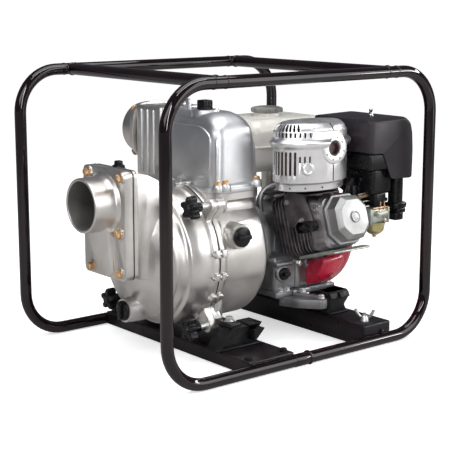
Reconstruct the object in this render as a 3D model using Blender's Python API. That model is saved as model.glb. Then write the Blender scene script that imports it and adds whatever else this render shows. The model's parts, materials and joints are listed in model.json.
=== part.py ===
"""Gas engine trash pump in a two-hoop tube frame.

The pump drinks at -X and delivers towards +Y. The engine sits behind it, towards +X,
with its cylinder leaning to -Y. The origin is under the middle of the machine on the
surface that it stands on, with +Z up. Every size below is in millimetres, and MM turns
them into metres.
"""
import math

import bmesh
import bpy
from mathutils import Matrix, Vector

MM = 0.001
GAP = 0.3                                # clearance between pieces that touch

# --- frame ---------------------------------------------------------------------------
LENGTH, WIDTH, HEIGHT = 735.0, 545.0, 600.0
TUBE_R = 12.5
TUBE_SIDES = 12
TUBE_CLEAR_R = 13.5                      # saddle cut that clears the faceted tube
BEND_R = 90.0
HOOP_X = LENGTH / 2 - TUBE_R
HOOP_Y = WIDTH / 2 - TUBE_R
HOOP_LOW = TUBE_R
HOOP_HIGH = HEIGHT - TUBE_R
CROSS_X = 230.0

RAIL_WALL = 4.0
RAIL_END = 256.0
PUMP_RAIL = ((-150.0, 2.0), (-30.0, 30.0))       # X and Z of the channel's corners
ENGINE_RAIL = ((171.0, 2.0), (252.0, 48.0))

MOUNT_DEPTH = 44.0
PUMP_MOUNTS = {"near": (-85.0, -142.5, 100.0), "far": (-68.0, 172.0, 66.0)}    # X, Y and width
ENGINE_MOUNT_X, ENGINE_MOUNT_W = 207.0, 50.0
PUMP_MOUNT_TOP = 76.0
ENGINE_MOUNT_TOP = 98.0
ENGINE_MOUNT_Y = (-98.0, 120.0)

# --- pump ----------------------------------------------------------------------------
AXIS_Y, AXIS_Z = 20.0, 205.0             # crank and impeller axis, along X
SPLIT_X = -125.0                         # plane between front cover and casing
CASING_R = 148.0
RIM_R = 157.0
WALL = 8.0
CASING_BACK = 52.0
PORT_OR, PORT_IR = 57.0, 50.0            # four-inch hose ports
SUCTION_Z = 331.0
SUCTION_END = -358.0
SUCTION_FACE = -307.0
SUCTION_BACK = -289.0
BOX_Y = (-54.0, 88.0)
FLAP_HINGE = Vector((-283.5, AXIS_Y, 383.0))

DECK_Z = 342.0                           # joint between casing and discharge chamber
CHAMBER_LOW = Vector((-106.0, -94.0, DECK_Z + GAP))
CHAMBER_HIGH = Vector((15.0, 150.0, 505.0))
OUTLET_X, OUTLET_Z = -50.0, 449.0
OUTLET_FACE = 186.0
OUTLET_PLATE = 14.0
OUTLET_END = 243.0
PRIMER = Vector((-60.0, 0.0, 508.0))

KNOB_X = -181.0
LUG_SETBACK = 0.2                        # ears stand a little behind the rim faces
STUD_R = 5.0
KNOBS = {"near_top": (-112.0, 325.0), "near_bottom": (-106.0, 72.0),
         "far_top": (186.0, 325.0), "far_bottom": (186.0, 78.0)}      # Y and Z

SIDE_PLUG = Vector((-76.0, -142.0, 257.0))
FRONT_DRAIN = Vector((-268.0, 10.0, 102.0))
BOX_PLUG = Vector((-268.0, AXIS_Y, 400.0))

# --- engine --------------------------------------------------------------------------
BORE_TILT = math.radians(17.0)           # cylinder axis above the horizontal
BORE_AXIS = Vector((0.0, -math.cos(BORE_TILT), math.sin(BORE_TILT)))
BORE_X = 155.0
CRANK = Vector((BORE_X, AXIS_Y, AXIS_Z))
BLOCK_X = (CASING_BACK + GAP, 205.0)
BLOCK_FRONT = -100.0
BORE_R = 44.2
DECK = 62.0                              # where crankcase and cylinder meet
STROKE_HALF = 32.0
HEAD_START, HEAD_END = 165.0, 225.0      # distances from the crank along the bore
FIN_PITCH = 11.0
SHAFT_R, JOURNAL_R = 12.5, 17.5
SHROUD_X = (206.0, 289.7)
SHROUD_R = 128.0
RECOIL_X = (290.0, 332.0)
REEL_X = 306.0
REEL_R = 50.0
GRIP_Y = 108.0

MUFFLER = Vector((107.0, -148.0, 343.0))
SHIELD_A, SHIELD_B, SHIELD_H = 93.0, 60.0, 143.0
EXHAUST = Vector((126.0, -206.0, 426.0))
CLEANER_LOW = Vector((212.0, -222.0, 350.0))
CLEANER_HIGH = Vector((350.0, -45.0, 485.0))
CLEANER_SPLIT = 411.0
CLEANER_STUD = Vector((286.0, -150.0, 0.0))
CARB = Vector((262.0, -192.0, 270.0))
TANK_LOW = Vector((85.0, 12.0, 352.0))
TANK_HIGH = Vector((325.0, 200.0, 470.0))
FUEL_NECK = Vector((205.0, 105.0, 478.0))
OIL_CAP = Vector((76.0, BLOCK_FRONT - GAP, 150.0))
THROTTLE = Vector((236.0, -174.0, 322.0))
CHOKE = Vector((CARB.x + 24.0 + GAP, CARB.y, 276.0))
FUEL_VALVE = Vector((248.0, CARB.y - 20.0 - GAP, 278.0))
SWITCH = Vector((SHROUD_X[1] + GAP, -35.0, 300.0))
PLUG = CRANK + BORE_AXIS * 198.0 - Vector((50.0, 0.0, 0.0))

X_AXIS, Y_AXIS, Z_AXIS = Vector((1, 0, 0)), Vector((0, 1, 0)), Vector((0, 0, 1))


# --- scene and materials -------------------------------------------------------------
def clear_scene():
    for item in list(bpy.data.objects):
        bpy.data.objects.remove(item, do_unlink=True)


def material(name, colour, roughness, metallic=0.0):
    """One Principled material."""
    made = bpy.data.materials.new(name)
    made.use_nodes = True
    shader = made.node_tree.nodes["Principled BSDF"]
    shader.inputs["Base Color"].default_value = (*colour, 1.0)
    shader.inputs["Roughness"].default_value = roughness
    shader.inputs["Metallic"].default_value = metallic
    made.diffuse_color = (*colour, 1.0)
    return made


FINISHES = {
    "frame_paint": ((0.035, 0.020, 0.024), 0.25, 0.0),
    "rail_paint": ((0.025, 0.022, 0.024), 0.4, 0.0),
    "rubber": ((0.02, 0.02, 0.022), 0.7, 0.0),
    "cast_alloy": ((0.66, 0.65, 0.63), 0.38, 0.9),
    "chamber_alloy": ((0.56, 0.56, 0.57), 0.4, 0.9),
    "engine_alloy": ((0.50, 0.50, 0.50), 0.45, 0.9),
    "dark_fins": ((0.10, 0.10, 0.11), 0.5, 0.6),
    "bright_cover": ((0.82, 0.82, 0.81), 0.25, 1.0),
    "shield_steel": ((0.86, 0.86, 0.86), 0.25, 1.0),
    "muffler_steel": ((0.22, 0.18, 0.16), 0.6, 0.8),
    "black_plastic": ((0.02, 0.02, 0.022), 0.4, 0.0),
    "cleaner_plastic": ((0.075, 0.068, 0.075), 0.5, 0.0),
    "shroud_red": ((0.45, 0.02, 0.05), 0.3, 0.0),
    "steel": ((0.6, 0.6, 0.6), 0.3, 1.0),
    "cast_iron": ((0.25, 0.25, 0.26), 0.6, 0.8),
    "gold_zinc": ((0.72, 0.58, 0.28), 0.35, 1.0),
    "carb_alloy": ((0.42, 0.46, 0.42), 0.45, 0.8),
    "tank_white": ((0.80, 0.79, 0.74), 0.35, 0.0),
    "cap_plastic": ((0.68, 0.66, 0.60), 0.45, 0.0),
    "filter_foam": ((0.35, 0.33, 0.28), 0.9, 0.0),
    "white_ceramic": ((0.8, 0.78, 0.72), 0.3, 0.0),
}
MATERIALS = {}


# --- shapes, each a bmesh in millimetres ---------------------------------------------
def turn_to(axis):
    """Rotation that takes +Z to an axis."""
    return Z_AXIS.rotation_difference(axis).to_matrix().to_4x4()


def placed(shape, matrix):
    bmesh.ops.transform(shape, matrix=matrix, verts=shape.verts)
    return shape


def tidy(shape):
    bmesh.ops.remove_doubles(shape, verts=shape.verts, dist=0.0005)
    bmesh.ops.recalc_face_normals(shape, faces=shape.faces)
    return shape


def lofted(rings, closed=False):
    """A skin over a row of rings with the same number of points."""
    shape = bmesh.new()
    rows = [[shape.verts.new(point) for point in ring] for ring in rings]
    count = len(rows[0])
    spans = list(zip(rows, rows[1:]))
    if closed:
        spans.append((rows[-1], rows[0]))
    else:
        shape.faces.new(rows[0])
        shape.faces.new(rows[-1])
    for low, high in spans:
        for k in range(count):
            n = (k + 1) % count
            shape.faces.new((low[k], low[n], high[n], high[k]))
    return tidy(shape)


def block(low, high, edge=0.0, steps=2, keep_bottom=False, upright_only=False):
    """A box between two corners, with rounded edges where asked."""
    low, high = Vector(low), Vector(high)
    shape = bmesh.new()
    bmesh.ops.create_cube(shape, size=1.0)
    size = high - low
    placed(shape, Matrix.Translation((low + high) / 2) @ Matrix.Diagonal((*size, 1.0)))
    if edge:
        middle = (low.z + high.z) / 2
        chosen = []
        for line in shape.edges:
            ends = [v.co.z for v in line.verts]
            upright = abs(ends[0] - ends[1]) > size.z / 2
            bottom = max(ends) < middle
            if upright or not (upright_only or (keep_bottom and bottom)):
                chosen.append(line)
        bmesh.ops.bevel(shape, geom=chosen, offset=edge, segments=steps,
                        profile=0.5, affect="EDGES")
    return tidy(shape)


def circle(radius, along, sides):
    """Points round +Z at one height."""
    return [(radius * math.cos(math.tau * k / sides), radius * math.sin(math.tau * k / sides), along)
            for k in range(sides)]


def turned(profile, sides=24, centre=(0, 0, 0), axis=Z_AXIS):
    """Turn (along, radius) points about an axis. A first point on the axis closes both ends flat."""
    rings = [circle(radius, along, sides) for along, radius in profile if radius > 0]
    shape = lofted(rings, closed=profile[0][1] > 0)
    return placed(shape, Matrix.Translation(Vector(centre)) @ turn_to(Vector(axis)))


def rod(start, end, radius, sides=16):
    """A round bar between two points."""
    start, end = Vector(start), Vector(end)
    reach = (end - start).length
    rings = [circle(radius, along, sides) for along in (0, reach)]
    return placed(lofted(rings), Matrix.Translation(start) @ turn_to((end - start).normalized()))


def prism(outline, low, high, axis="Z"):
    """Push an outline along X, Y or Z. The outline holds the other two coordinates."""
    def lift(a, b, c):
        return {"X": (c, a, b), "Y": (a, c, b), "Z": (a, b, c)}[axis]
    return lofted([[lift(a, b, level) for a, b in outline] for level in (low, high)])


def rounded_square(half_u, half_v, corner, steps=2):
    """Outline of a rectangle with round corners."""
    points = []
    for k, (su, sv) in enumerate(((1, 1), (-1, 1), (-1, -1), (1, -1))):
        for step in range(steps + 1):
            angle = math.radians(90 * (k + step / steps))
            points.append((su * (half_u - corner) + corner * math.cos(angle),
                           sv * (half_v - corner) + corner * math.sin(angle)))
    return points


def bore_frame(along):
    """Places a shape drawn round +Z on the cylinder's axis: its X stays, its Y points up."""
    up = X_AXIS.cross(BORE_AXIS) * -1.0
    turn = Matrix((X_AXIS, up, BORE_AXIS)).transposed().to_4x4()
    return Matrix.Translation(CRANK + BORE_AXIS * along) @ turn


def stacked(levels, matrix):
    """Rounded rectangles (along, half_u, half_v, corner) stacked along an axis."""
    rings = [[(u, v, along) for u, v in rounded_square(a, b, corner)]
             for along, a, b, corner in levels]
    return placed(lofted(rings), matrix)


# --- objects -------------------------------------------------------------------------
def add_object(name, shape, origin):
    """Write a bmesh into an object whose origin sits at a point."""
    origin = Vector(origin)
    placed(shape, Matrix.Diagonal((MM, MM, MM, 1.0)) @ Matrix.Translation(-origin))
    mesh = bpy.data.meshes.new(name)
    shape.to_mesh(mesh)
    shape.free()
    made = bpy.data.objects.new(name, mesh)
    made.location = origin * MM
    bpy.context.scene.collection.objects.link(made)
    return made


def part(name, shape, finish, origin=(0, 0, 0)):
    made = add_object(name, shape, origin)
    made.data.materials.append(MATERIALS[finish])
    made.data.shade_smooth()
    made.data.set_sharp_from_angle(angle=math.radians(32))
    return made


def combine(target, shapes, operation):
    """Boolean a row of helper shapes into a part."""
    for number, shape in enumerate(shapes):
        helper = add_object(f"{target.name}_{operation.lower()}_{number}", shape, (0, 0, 0))
        helper.hide_render = True
        helper.display_type = "WIRE"
        step = target.modifiers.new(helper.name, "BOOLEAN")
        step.object = helper
        step.operation = operation
        step.solver = "EXACT"


def fuse(target, *shapes):
    combine(target, shapes, "UNION")


def cut(target, *shapes):
    combine(target, shapes, "DIFFERENCE")


# --- frame ---------------------------------------------------------------------------
def tube_ring(centre, outward):
    """One cross-section of the tube, with a flat side facing down."""
    ring = []
    reach = TUBE_R / math.cos(math.pi / TUBE_SIDES)
    for k in range(TUBE_SIDES):
        angle = math.tau * (k + 0.5) / TUBE_SIDES
        ring.append(centre + reach * (math.cos(angle) * outward + math.sin(angle) * Y_AXIS))
    return ring


def hoop(name, side_y):
    """A rectangle of tube with four round bends."""
    rings = []
    steps = 5
    across = HOOP_X - BEND_R
    for k, (sx, sz) in enumerate(((1, 1), (-1, 1), (-1, -1), (1, -1))):
        height = HOOP_HIGH - BEND_R if sz > 0 else HOOP_LOW + BEND_R
        bend = Vector((sx * across, side_y, height))
        for step in range(steps + 1):
            angle = math.radians(90 * (k + step / steps))
            outward = Vector((math.cos(angle), 0.0, math.sin(angle)))
            rings.append(tube_ring(bend + BEND_R * outward, outward))
    part(name, lofted(rings, closed=True), "frame_paint")


def saddle(side_y, height, low_x, high_x):
    return rod((low_x, side_y, height), (high_x, side_y, height), TUBE_CLEAR_R)


def cross_tube(name, x):
    reach = HOOP_Y - 4.0
    reach_out = TUBE_R / math.cos(math.pi / TUBE_SIDES)
    angles = [math.tau * (k + 0.5) / TUBE_SIDES for k in range(TUBE_SIDES)]
    section = [(x + reach_out * math.cos(a), HOOP_HIGH + reach_out * math.sin(a)) for a in angles]
    made = part(name, prism(section, -reach, reach, "Y"), "frame_paint")
    cut(made, *[saddle(side, HOOP_HIGH, x - 40, x + 40) for side in (-HOOP_Y, HOOP_Y)])


def rail(name, corners):
    """A channel across the hoops, open below, notched over both bottom tubes."""
    (x0, z0), (x1, z1) = corners
    made = part(name, block((x0, -RAIL_END, z0), (x1, RAIL_END, z1), 3.0, 1, True), "rail_paint")
    inner_end = RAIL_END - RAIL_WALL
    cut(made, block((x0 + RAIL_WALL, -inner_end, z0 - 5), (x1 - RAIL_WALL, inner_end, z1 - RAIL_WALL)),
        *[saddle(side, HOOP_LOW, x0 - 20, x1 + 20) for side in (-HOOP_Y, HOOP_Y)])


def rubber_mount(name, x, y, low, high, width):
    """A waisted rubber block between two plates."""
    half, plate, waist = width / 2, 5.0, width * 0.18
    middle = (low + high) / 2
    right = [(half, low), (half, low + plate), (half - waist, middle), (half, high - plate), (half, high)]
    outline = [(x + a, b) for a, b in right] + [(x - a, b) for a, b in reversed(right)]
    part(name, prism(outline, y - MOUNT_DEPTH / 2, y + MOUNT_DEPTH / 2, "Y"), "rubber")


def build_frame():
    hoop("frame_hoop_near", -HOOP_Y)
    hoop("frame_hoop_far", HOOP_Y)
    cross_tube("cross_tube_front", -CROSS_X)
    cross_tube("cross_tube_rear", CROSS_X)
    rail("pump_rail", PUMP_RAIL)
    rail("engine_rail", ENGINE_RAIL)
    for side, (x, y, width) in PUMP_MOUNTS.items():
        rubber_mount(f"pump_mount_{side}", x, y, PUMP_RAIL[1][1] + GAP, PUMP_MOUNT_TOP, width)
    for side, y in zip(("near", "far"), ENGINE_MOUNT_Y):
        rubber_mount(f"engine_mount_{side}", ENGINE_MOUNT_X, y, ENGINE_RAIL[1][1] + GAP,
                     ENGINE_MOUNT_TOP, ENGINE_MOUNT_W)


# --- pump ----------------------------------------------------------------------------
def on_axis(profile, sides=32):
    """Turn (x, radius) points about the crank axis."""
    return turned(profile, sides, (0, AXIS_Y, AXIS_Z), X_AXIS)


def lug(y, z, x0, x1):
    """An ear that runs out from the rim to a stud."""
    reach = Vector((0.0, y - AXIS_Y, z - AXIS_Z))
    length = reach.length
    outward = reach.normalized()
    sideways = X_AXIS.cross(outward)
    outline = [(-15, RIM_R - 22), (15, RIM_R - 22)]
    for step in range(9):
        angle = math.pi * step / 8
        outline.append((14 * math.cos(angle), length + 14 * math.sin(angle)))
    rings = []
    for x in (x0, x1):
        base = Vector((x, AXIS_Y, AXIS_Z))
        rings.append([base + outward * v + sideways * u for u, v in outline])
    return lofted(rings)


def build_front_cover():
    outer = [(-256, 0), (-256, 40), (-250, 80), (-238, 108), (-218, 128), (-196, 139), (-188, 146),
             (-168, 150), (-140, 152), (-140, RIM_R), (SPLIT_X - GAP, RIM_R), (SPLIT_X - GAP, 0)]
    cover = part("front_cover", on_axis(outer), "cast_alloy")
    roof = [(SUCTION_BACK + 0.5, 178), (SUCTION_BACK + 0.5, 398), (-240, 390), (-190, 358),
            (-165, 320), (-165, 178)]
    hollow = [(SUCTION_BACK - 5, 190), (SUCTION_BACK - 5, 389), (-244, 381), (-196, 350),
              (-158, 300), (-158, 190)]
    ears = [lug(y, z, -141, SPLIT_X - GAP - LUG_SETBACK) for y, z in KNOBS.values()]
    fuse(cover, prism(roof, *BOX_Y, "Y"),
         rod(FRONT_DRAIN, (-200, FRONT_DRAIN.y, FRONT_DRAIN.z), 23, 20),
         rod((BOX_PLUG.x, BOX_PLUG.y, 380), BOX_PLUG, 14), *ears)
    cut(cover, prism(hollow, BOX_Y[0] + WALL, BOX_Y[1] - WALL, "Y"),
        on_axis([(-248, 0), (-248, 36), (-242, 74), (-231, 100), (-212, 120), (-188, 132),
                 (-165, 141), (-120, 143.5), (-120, 0)]),
        rod(FRONT_DRAIN - 5 * X_AXIS, FRONT_DRAIN + 75 * X_AXIS, 15.5),
        rod(BOX_PLUG - 30 * Z_AXIS, BOX_PLUG + 5 * Z_AXIS, 8.5),
        *[rod((-150, y, z), (-120, y, z), STUD_R + 0.6, 12) for y, z in KNOBS.values()])


def threaded_plug(name, seat, out, head_r, head_h, shank_r, shank_l, square):
    """A plug whose collar sits on a face, with its thread inside the hole."""
    seat, out = Vector(seat) + out * GAP, Vector(out)
    made = part(name, turned([(-shank_l, 0), (-shank_l, shank_r), (0, shank_r), (0, head_r),
                              (head_h * 0.45, head_r), (head_h * 0.45, 0)], 16, seat, out),
                "black_plastic", seat)
    half = square / 2
    turn = Matrix.Translation(seat) @ turn_to(out)
    fuse(made, placed(block((-half, -half, head_h * 0.3), (half, half, head_h), 1.5, 1), turn))


def build_suction():
    plate = block((SUCTION_FACE, -58, 180), (SUCTION_BACK, 92, 404), 5.0, 2)
    flange = part("suction_flange", plate, "cast_alloy")
    centre = Vector((SUCTION_END, AXIS_Y, SUCTION_Z))
    fuse(flange, rod(centre, (SUCTION_FACE + 5, AXIS_Y, SUCTION_Z), PORT_OR, 40),
         block((-330, -14, 186), (SUCTION_FACE + 4, 62, 290), 8.0, 2))
    cut(flange, rod(centre - 10 * X_AXIS, (SUCTION_BACK + 10, AXIS_Y, SUCTION_Z), PORT_IR, 40))
    flap = part("check_valve_flap", rod((-287, AXIS_Y, SUCTION_Z), (-282, AXIS_Y, SUCTION_Z), 54, 32),
                "rubber", FLAP_HINGE)
    fuse(flap, block((-287, AXIS_Y - 18, 372), (-281, AXIS_Y + 18, 386), 0))


def build_casing():
    shell = [(SPLIT_X + GAP, 0), (SPLIT_X + GAP, RIM_R), (-110, RIM_R), (-110, 150), (3, CASING_R),
             (10, 142), (12, 100), (38, 94), (CASING_BACK, 94), (CASING_BACK, 0)]
    casing = part("pump_casing", on_axis(shell), "cast_alloy")
    ears = [lug(y, z, SPLIT_X + GAP + LUG_SETBACK, -106) for y, z in KNOBS.values()]
    foot = PUMP_MOUNT_TOP + GAP
    feet = [block((-123, -158, foot), (-92, -55, 89)), block((-100, 95, foot), (-72, 190, 89)),
            block((-117, -100, 84), (-98, -70, 125)), block((-96, 110, 84), (-77, 140, 125))]
    fuse(casing, block((-104, -90, 215), (9, 144, 334), 14.0, 2),
         block((-112, -101, 328), (21, 156, DECK_Z + 2), 3.0, 1, upright_only=True),
         rod((SIDE_PLUG.x, -90, SIDE_PLUG.z), SIDE_PLUG, 24, 20), *ears, *feet)
    cut(casing, block((-96, -82, 230), (1, 136, DECK_Z + 5)),
        block((-109.8, -140, DECK_Z), (60, 190, DECK_Z + 40)),
        on_axis([(-130, 0), (-130, 142.5), (-18, 140.5), (-8.5, 129.5), (-8.5, 27), (60, 27), (60, 0)]),
        rod(SIDE_PLUG - 10 * Y_AXIS, SIDE_PLUG + 60 * Y_AXIS, 15.5),
        *[rod((-130, y, z), (-109, y, z), STUD_R + 0.4, 12) for y, z in KNOBS.values()])


def build_knobs():
    """Star knobs that hold the front cover on, each on its own stud."""
    for place, (y, z) in KNOBS.items():
        part(f"stud_{place}", rod((-188, y, z), (-110, y, z), STUD_R, 10), "steel")
        outline = []
        for k in range(25):
            angle = math.tau * k / 25
            reach = 18.5 + 6.5 * math.cos(5 * angle)
            outline.append((y + reach * math.sin(angle), z + reach * math.cos(angle)))
        knob = part(f"knob_{place}", prism(outline, KNOB_X - 13, KNOB_X + 9, "X"), "black_plastic",
                    (KNOB_X, y, z))
        fuse(knob, rod((KNOB_X - 16, y, z), (KNOB_X + 20, y, z), 10.5, 14))
        cut(knob, rod((-190, y, z), (KNOB_X + 30, y, z), STUD_R + 0.4, 10))


def build_pump_inside():
    volute = part("volute", on_axis([(-122, 102), (-122, 110), (-58, 110), (-58, 30), (-64, 30),
                                     (-64, 102)]), "cast_iron")
    cut(volute, block((-114, AXIS_Y + 25, AXIS_Z + 40), (-72, AXIS_Y + 85, AXIS_Z + 130)))
    impeller = part("impeller", on_axis([(-108, 0), (-108, 24), (-78, 30), (-78, 94), (-70, 94),
                                         (-70, 0)]), "cast_iron", (0, AXIS_Y, AXIS_Z))
    vanes = []
    for k in range(3):
        vane = block((-112, -8, 18), (-74, 2, 90))
        bend = Matrix.Rotation(math.tau * k / 3, 4, "X")
        vanes.append(placed(vane, Matrix.Translation((0, AXIS_Y, AXIS_Z)) @ bend))
    fuse(impeller, *vanes)
    cut(impeller, rod((-104, AXIS_Y, AXIS_Z), (-60, AXIS_Y, AXIS_Z), SHAFT_R + GAP))
    part("mechanical_seal", on_axis([(-6, 13.2), (-6, 24), (2, 26.5), (18, 26.5), (18, 13.2)], 24),
         "steel")


def build_discharge():
    chamber = part("discharge_chamber", block(CHAMBER_LOW, CHAMBER_HIGH, 42.0, 4, True), "chamber_alloy")
    fuse(chamber, block((-109.4, -101, DECK_Z + GAP), (21, 156, 353), 3.0, 1, upright_only=True),
         block((-104, 118, 353), (2, OUTLET_FACE, 506), 12.0, 2, True),
         rod((PRIMER.x, PRIMER.y, 490), PRIMER, 27))
    inset = Vector((WALL, WALL, WALL))
    cut(chamber, block(CHAMBER_LOW + inset - 20 * Z_AXIS, CHAMBER_HIGH - inset, 34.0, 2, True),
        rod((OUTLET_X, 100, OUTLET_Z), (OUTLET_X, OUTLET_FACE + 5, OUTLET_Z), 43, 32),
        rod(PRIMER - 30 * Z_AXIS, PRIMER + 5 * Z_AXIS, 14.5))
    outline = []
    for k in range(32):
        angle = math.tau * k / 32
        reach = 63.0 / (abs(math.cos(angle)) ** 3.4 + abs(math.sin(angle)) ** 3.4) ** (1 / 3.4)
        outline.append((OUTLET_X + reach * math.cos(angle), OUTLET_Z + reach * math.sin(angle)))
    plate_end = OUTLET_FACE + GAP + OUTLET_PLATE
    flange = part("discharge_flange", prism(outline, OUTLET_FACE + GAP, plate_end, "Y"), "cast_alloy")
    fuse(flange, rod((OUTLET_X, plate_end - 5, OUTLET_Z), (OUTLET_X, OUTLET_END, OUTLET_Z), PORT_OR, 40))
    cut(flange, rod((OUTLET_X, OUTLET_FACE - 5, OUTLET_Z), (OUTLET_X, OUTLET_END + 5, OUTLET_Z),
                    PORT_IR, 40))


def build_pump():
    build_front_cover()
    build_suction()
    build_casing()
    build_knobs()
    build_pump_inside()
    build_discharge()
    threaded_plug("suction_box_plug", BOX_PLUG, Z_AXIS, 13, 15, 8, 12, 14)
    threaded_plug("front_drain_plug", FRONT_DRAIN, -X_AXIS, 21, 14, 15, 22, 18)
    threaded_plug("casing_side_plug", SIDE_PLUG, -Y_AXIS, 20, 15, 15, 22, 17)
    threaded_plug("priming_cap", PRIMER, Z_AXIS, 17, 19, 14, 14, 25)


# --- engine --------------------------------------------------------------------------
def build_crankcase():
    x0, x1 = BLOCK_X
    base = ENGINE_MOUNT_TOP + GAP
    case = part("crankcase", block((x0, BLOCK_FRONT, 106), (x1, 110, 185), 10.0, 2), "engine_alloy")
    fuse(case, block((x0, -38, 160), (x1 - 1, 104, 276), 14.0, 2),
         stacked([(30, 48.4, 54, 10), (DECK + 6, 48.4, 54, 10)], bore_frame(0)),
         block((x0, -106, base), (x1, 136, 110), 5.0, 1, upright_only=True),
         prism([(70, -90), (108, -90), (134, -174), (116, -180)], 80, 104, "Z"),
         *[block((x1 - 5, y0, base), (x1 + 23, y1, 109)) for y0, y1 in ((-106, -80), (113, 136))])
    cut(case, block((x0 + 17, -30, 122), (x1 - 9, 92, 262)),
        stacked([(DECK - GAP, 52.3, 63, 4), (190, 52.3, 63, 4)], bore_frame(0)),
        stacked_bore(10, 100, 46.0),
        rod((x0 - 20, AXIS_Y, AXIS_Z), (x1 + 20, AXIS_Y, AXIS_Z), JOURNAL_R + 0.6))


def stacked_bore(start, end, radius):
    """A round bar on the cylinder's axis."""
    return rod(CRANK + BORE_AXIS * start, CRANK + BORE_AXIS * end, radius, 32)


def build_cylinder():
    levels = []
    along = DECK
    while along + FIN_PITCH < HEAD_START:
        levels += [(along, 46, 47, 8), (along + 4, 46, 47, 8), (along + 4, 50, 60, 14),
                   (along + 7, 50, 60, 14), (along + 7, 46, 47, 8)]
        along += FIN_PITCH
    levels += [(HEAD_START, 46, 47, 8), (HEAD_START, 50, 54, 9), (HEAD_START + 14, 50, 54, 9)]
    along = HEAD_START + 14
    while along + FIN_PITCH < HEAD_END:
        levels += [(along, 44, 48, 8), (along + 5, 44, 48, 8), (along + 5, 50, 54, 10),
                   (along + 9, 50, 54, 10)]
        along += FIN_PITCH
    levels += [(HEAD_END, 50, 54, 10)]
    steps = [levels[0]]
    for level in levels[1:]:
        if level[0] <= steps[-1][0]:
            level = (steps[-1][0] + 0.05, *level[1:])
        steps.append(level)
    cylinder = part("cylinder", stacked(steps, bore_frame(0)), "dark_fins")
    cut(cylinder, stacked_bore(DECK - 10, 178, BORE_R), rod(PLUG - 6 * X_AXIS, PLUG + 26 * X_AXIS, 8, 16))
    cover = [(HEAD_END + GAP, 53, 57, 24), (HEAD_END + 5, 53, 57, 24), (HEAD_END + 5.1, 48, 52, 22),
             (HEAD_END + 24, 46, 50, 21), (HEAD_END + 33, 39, 43, 18)]
    rings = [[(u, v, a) for u, v in rounded_square(p, q, r, 1)] for a, p, q, r in cover]
    part("valve_cover", placed(lofted(rings), bore_frame(0)), "bright_cover")


def build_ignition():
    tip = PLUG - 24 * X_AXIS
    part("spark_plug", turned([(0, 0), (0, 7), (14, 7), (14, 10.5), (24, 10.5), (24, 6), (44, 5), (44, 0)],
                              16, PLUG + 14 * X_AXIS, -X_AXIS), "white_ceramic")
    boot = part("spark_plug_cap", rod(PLUG - 13 * X_AXIS, PLUG - 46 * X_AXIS, 12, 20), "black_plastic",
                PLUG - 13 * X_AXIS)
    fuse(boot, rod(tip - 12 * X_AXIS, tip - 12 * X_AXIS - 26 * Y_AXIS, 8, 16))
    cut(boot, rod(PLUG - 5 * X_AXIS, PLUG - 34 * X_AXIS, 7, 16))


def build_rotor():
    """Crankshaft with its extension to the impeller, and the flywheel."""
    front = on_axis([(-103, 0), (-103, SHAFT_R), (30, SHAFT_R), (30, JOURNAL_R), (128, JOURNAL_R),
                     (128, 46), (140, 46), (140, 0)], 24)
    shaft = part("crankshaft", front, "steel", (0, AXIS_Y, AXIS_Z))
    rear = [(170, 0), (170, 46), (182, 46), (182, JOURNAL_R), (286, JOURNAL_R), (286, 0)]
    fuse(shaft, on_axis(rear, 24),
         rod((132, AXIS_Y, AXIS_Z + STROKE_HALF - 4), (178, AXIS_Y, AXIS_Z + STROKE_HALF - 4), 15))
    wheel = part("flywheel", on_axis([(214, 0), (214, 92), (238, 97), (238, 0)]),
                 "cast_iron", (0, AXIS_Y, AXIS_Z))
    outline = []
    for k in range(48):
        angle = math.tau * (k + 0.4) / 48
        reach = 94 if k % 3 < 1 else 82
        outline.append((AXIS_Y + reach * math.cos(angle), AXIS_Z + reach * math.sin(angle)))
    fuse(wheel, prism(outline, 237, 262, "X"))
    cut(wheel, on_axis([(222, 30), (222, 75), (270, 75), (270, 30)]),
        rod((200, AXIS_Y, AXIS_Z), (300, AXIS_Y, AXIS_Z), JOURNAL_R + GAP, 20))
    part("piston", placed(turned([(85, 0), (85, 43.5), (140, 43.5), (140, 0)], 32),
                          bore_frame(0)), "engine_alloy", CRANK + BORE_AXIS * 112)


def build_shroud():
    x0, x1 = SHROUD_X
    shroud = part("fan_shroud", on_axis([(x0, SHROUD_R - 4), (x0, SHROUD_R), (x1 - 8, SHROUD_R),
                                         (x1, SHROUD_R - 8), (x1, 70), (x1 - 4, 70),
                                         (x1 - 4, SHROUD_R - 10), (x1 - 9, SHROUD_R - 4)]),
                  "shroud_red")
    duct = bore_frame(0) @ Matrix.Translation((-BORE_X, 0, 0))
    fuse(shroud, placed(block((x0, -61, 70), (250, 61, 190), 6.0, 2), duct))
    cut(shroud, placed(block((x0 - 5, -57, 60), (246, 57, 186)), duct),
        on_axis([(x0 - 10, 0), (x0 - 10, SHROUD_R - 4.2), (x1 - 9, SHROUD_R - 4.2),
                 (x1 - 4.2, SHROUD_R - 10), (x1 - 4.2, 0)]))


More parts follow.
